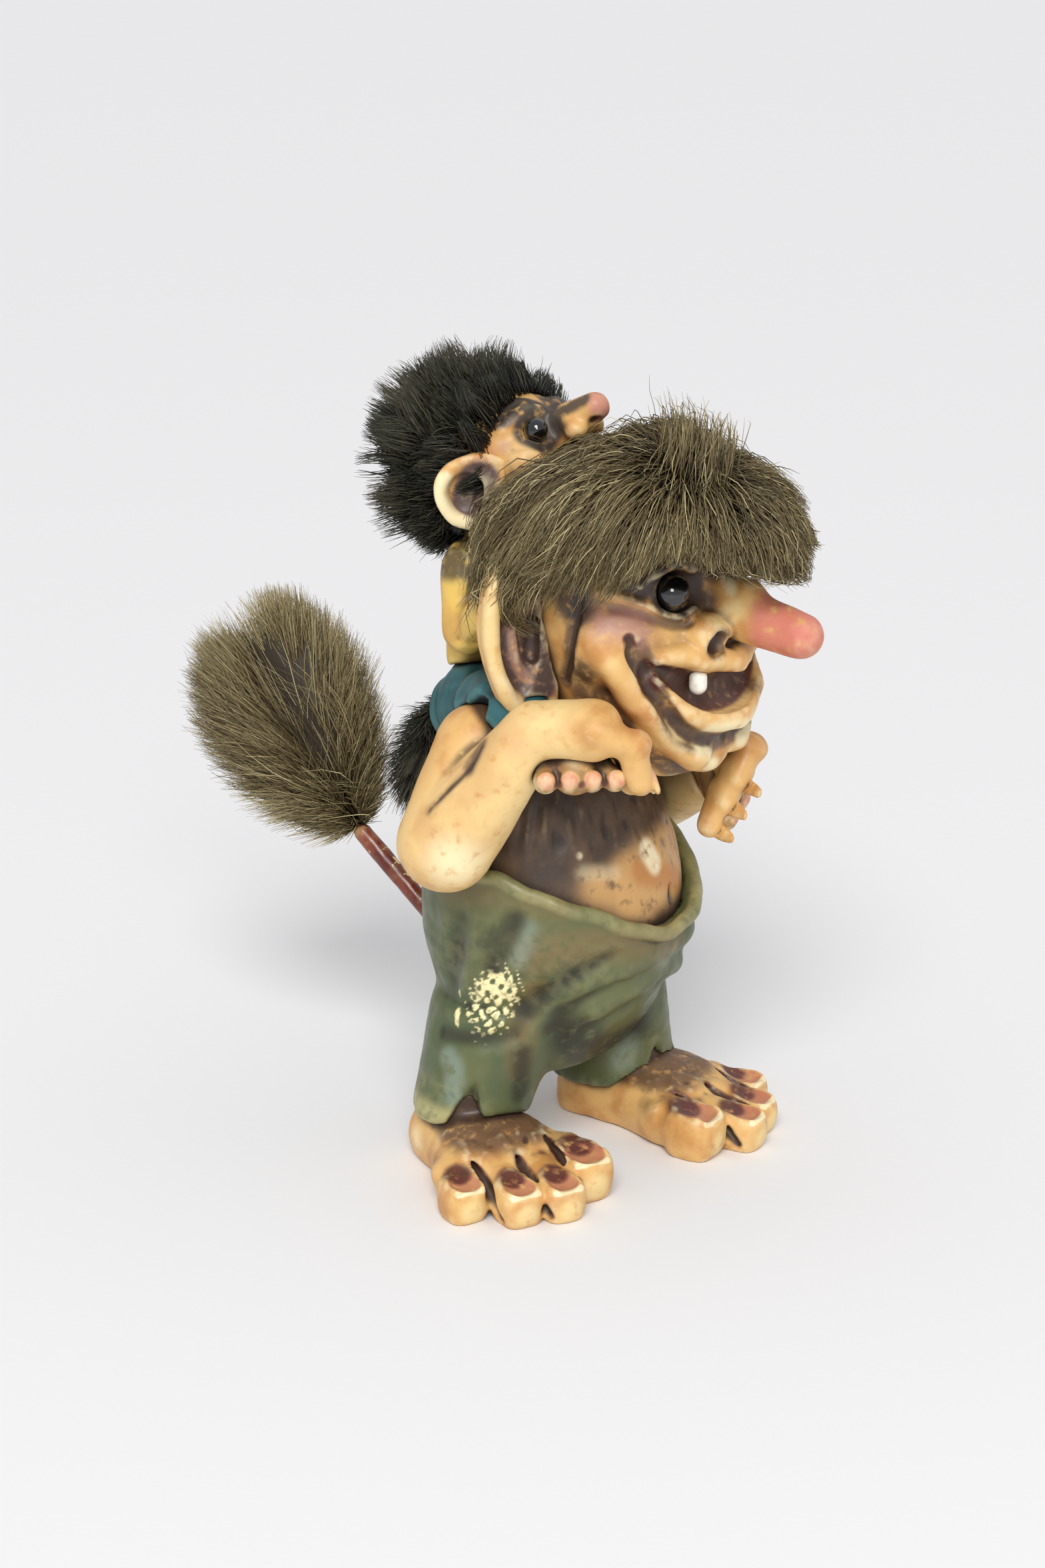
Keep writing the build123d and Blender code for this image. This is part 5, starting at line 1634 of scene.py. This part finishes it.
def grow_child_hair():
    """The child's wig: stiff spikes standing out all over, down to the hairline."""
    core = child_hair_form(CORE_GRID, MARGIN)
    under_coat(core, "child_hair", CORE_SHRINK, fur_black, "fur_black", "figure")
    coat = Coat(child_hair_form(COAT_GRID, FUR_MARGIN), seed=130)
    count = CHILD_HAIR_COUNT
    spikes = ("child_hair", open_air, (2.0, 5.0), (9, 15))
    scalp = ("child_head", on_scalp, (-0.6, -0.2), (4, 9))
    for number, (node, keep, sink, reach) in enumerate((spikes, spikes, scalp)):
        roots, out = coat.scatter(node, count, sink, keep)
        ways = out + CHILD_SPIKE_LEAN + coat.jitter(count, 0.25)
        lengths = coat.draws.uniform(*reach, count)

        def steer(_):
            return coat.jitter(count, 0.05)

        paths = coat.paths(roots, ways, lengths, steer, lambda points: coat.hold(points, FREE_ROOM, 0))
        paths, tones = coat.clump(paths, CHILD_SPIKE_GROUP, 0.88, free=0.1)
        room = coat.draws.uniform(-1.0, 1.5, count) + 5.5 * tones**2 + FREE_ROOM * (node == "child_head")
        paths = coat.trim(paths, lambda points: coat.far(points) < room)
        piece = coat.strands(f"child_hair_strands_{number + 1}", paths, tones, FINE_GIRTH)
        place(piece, "figure", "fur_black", fur_black)


grow_hair()
grow_child_hair()
grow_tuft(
    "tail_tuft",
    names=("tail_strands_1", "tail_strands_2"),
    root=TUFT_ROOT,
    way=TUFT_WAY,
    length=57.0,
    wide=15,
    deep=24,
    count=6000,
    material=fur_olive,
    slot="fur_olive",
    body="tuft",
    parting=TUFT_PARTING,
)
grow_tuft(
    "child_tail_tuft",
    names=("child_tail_strands",),
    root=CHILD_TUFT_ROOT,
    way=CHILD_TUFT_WAY,
    length=29.0,
    wide=9,
    deep=7.6,
    count=3000,
    material=fur_black,
    slot="fur_black",
    body="child_tail",
)


# Eyes, tooth and tail stalks
EYE_RINGS = 40
EYE_SPOKES = 64
EYE_DOME = 0.02


def glass(name, iris):
    """Black glass with a clear coat, and a coloured ring round the back half."""
    paint = Paint(name, rgb(6, 6, 8), 0.04)
    angle = paint.attribute("turn")
    ring = paint.math("MULTIPLY", paint.span(angle, 1.70, 1.80), paint.span(angle, 2.25, 2.15))
    flecks = paint.span(paint.noise(0.5, detail=3), 0.3, 0.7)
    paint.coat(paint.math("MULTIPLY", ring, paint.math("ADD", flecks, 0.5)), iris)
    paint.shader.inputs["Coat Weight"].default_value = 1.0
    paint.shader.inputs["Coat Roughness"].default_value = 0.02
    return paint.done()


def make_eye(node, centre, radius, gaze, material):
    """A glass eye with a slightly domed front."""
    rings, spokes = EYE_RINGS, EYE_SPOKES
    gaze = unit(np.array(gaze))
    side = unit(np.cross(gaze, (0, 0, 1)))
    up = np.cross(side, gaze)
    turns = np.linspace(0, math.pi, rings + 2)[1:-1]
    spins = np.linspace(0, 2 * math.pi, spokes, endpoint=False)
    t, s = (values[..., None] for values in np.meshgrid(turns, spins, indexing="ij"))
    ball = np.cos(t) * gaze + np.sin(t) * (np.cos(s) * side + np.sin(s) * up)
    dome = radius * (1 + EYE_DOME * np.clip(np.cos(t), 0, 1) ** 8)
    points = np.concatenate([(ball * dome).reshape(-1, 3), [gaze * radius * (1 + EYE_DOME), -gaze * radius]])
    faces = []
    for ring in range(rings - 1):
        for k in range(spokes):
            a, b = ring * spokes + k, ring * spokes + (k + 1) % spokes
            faces.append((a, b, b + spokes, a + spokes))
    front, last = rings * spokes, (rings - 1) * spokes
    for k in range(spokes):
        faces.append((front, (k + 1) % spokes, k))
        faces.append((last + k, last + (k + 1) % spokes, front + 1))
    mesh = bpy.data.meshes.new(node + "_glass")
    mesh.from_pydata(((points + centre + STANCE) * MM).tolist(), [], faces)
    mesh.polygons.foreach_set("use_smooth", np.ones(len(mesh.polygons), bool))
    piece = link(node + "_glass", mesh)
    write(piece, "turn", np.arccos(np.clip(unit(points) @ gaze, -1, 1)))
    place(piece, "figure", "glass_eye", material, node)


amber_eye = glass("glass_eye", rgb(214, 160, 40))
for name, side in (("right_eye", -1), ("left_eye", 1)):
    make_eye(name, EYE * (side, 1, 1), EYE_RADIUS, (0.3 * side, -1, 0), amber_eye)
    make_eye("child_" + name, CHILD_EYE * (side, 1, 1), CHILD_EYE_RADIUS, (0.5 * side, -1, 0.5), amber_eye)

enamel = Paint("tooth_white", rgb(238, 234, 222), 0.25)
enamel.coat(enamel.span(enamel.noise(1.2), 0.45, 0.7, 0.5), rgb(206, 192, 160))
sculpt_plain("tooth", 0.2, 0.2, enamel.done(), "tooth_white", 91, rough=0.05)
sculpt_plain("tail_stalk", 0.25, 0.3, stalk_red, "stalk_red", 93, body="tail")
sculpt_plain("child_tail_stalk", 0.2, 0.2, stalk_red, "stalk_red", 95, body="child_tail", rough=0.06)

steel = Paint("wire", rgb(150, 150, 152), 0.35)
steel.shader.inputs["Metallic"].default_value = 1.0
steel.coat(steel.span(steel.noise(0.8, stretch=(1, 1, 0.2)), 0.4, 0.7, 0.4), rgb(110, 108, 106))
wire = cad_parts["tail_wire"].data
wire.materials.clear()
wire.materials.append(steel.done())


# Stage, lights and camera
FLOOR_HALF = 20.0
SKY_COLOUR = (0.95, 0.96, 1.0, 1)
SKY_STRENGTH = 0.62
BACKDROP = (0.93, 0.93, 0.93, 1)
SENSOR_WIDTH = 36
LENS = 65.34
AZIMUTH = math.radians(-58)
ELEVATION = math.radians(17)
CAMERA_PLACE = Vector((-501.5, -324.3, 262.2)) * MM


def studio():
    """A pale floor that reaches out of sight, and a sky that lights one way and looks another."""
    half = FLOOR_HALF
    corners = [(-half, -half, 0), (half, -half, 0), (half, half, 0), (-half, half, 0)]
    mesh = bpy.data.meshes.new("floor")
    mesh.from_pydata(corners, [], [(0, 1, 2, 3)])
    floor = link("floor", mesh)
    paint = Paint("floor", rgb(238, 237, 236), 0.8)
    mesh.materials.append(paint.material)
    world = bpy.data.worlds.new("studio")
    bpy.context.scene.world = world
    world.use_nodes = True
    nodes, links = world.node_tree.nodes, world.node_tree.links
    sky = nodes["Background"]
    sky.inputs["Color"].default_value = SKY_COLOUR
    sky.inputs["Strength"].default_value = SKY_STRENGTH
    seen = nodes.new("ShaderNodeBackground")
    seen.inputs["Color"].default_value = BACKDROP
    seen.inputs["Strength"].default_value = 1.0
    ray = nodes.new("ShaderNodeLightPath")
    mix = nodes.new("ShaderNodeMixShader")
    links.new(ray.outputs["Is Camera Ray"], mix.inputs[0])
    links.new(sky.outputs[0], mix.inputs[1])
    links.new(seen.outputs[0], mix.inputs[2])
    links.new(mix.outputs[0], nodes["World Output"].inputs["Surface"])


def lamp(name, kind, spot_at, aim, size, power):
    """A soft light: a sun with its angle as size, or a square one."""
    data = bpy.data.lights.new(name, kind)
    if kind == "SUN":
        data.angle = size
    else:
        data.size = size
    data.energy = power
    light = link(name, data)
    light.location = spot_at
    light.rotation_euler = (Vector(aim) - Vector(spot_at)).to_track_quat("-Z", "Y").to_euler()


def camera():
    """The photograph's view: seen from the figure's right front, a little above."""
    data = bpy.data.cameras.new("camera")
    data.sensor_width = SENSOR_WIDTH
    data.lens = LENS
    eye = link("camera", data)
    flat = math.cos(ELEVATION)
    ahead = Vector((-math.sin(AZIMUTH) * flat, math.cos(AZIMUTH) * flat, -math.sin(ELEVATION)))
    eye.location = CAMERA_PLACE
    eye.rotation_mode = "QUATERNION"
    eye.rotation_quaternion = ahead.to_track_quat("-Z", "Y")
    bpy.context.scene.camera = eye


studio()
lamp("key", "SUN", (-0.7, -0.35, 0.85), (0, 0, 0.09), math.radians(25), 1.7)
lamp("window", "AREA", (-0.8, -0.6, 0.6), (0, 0, 0.1), 0.3, 2.5)
camera()
bpy.context.scene.view_settings.view_transform = "Standard"
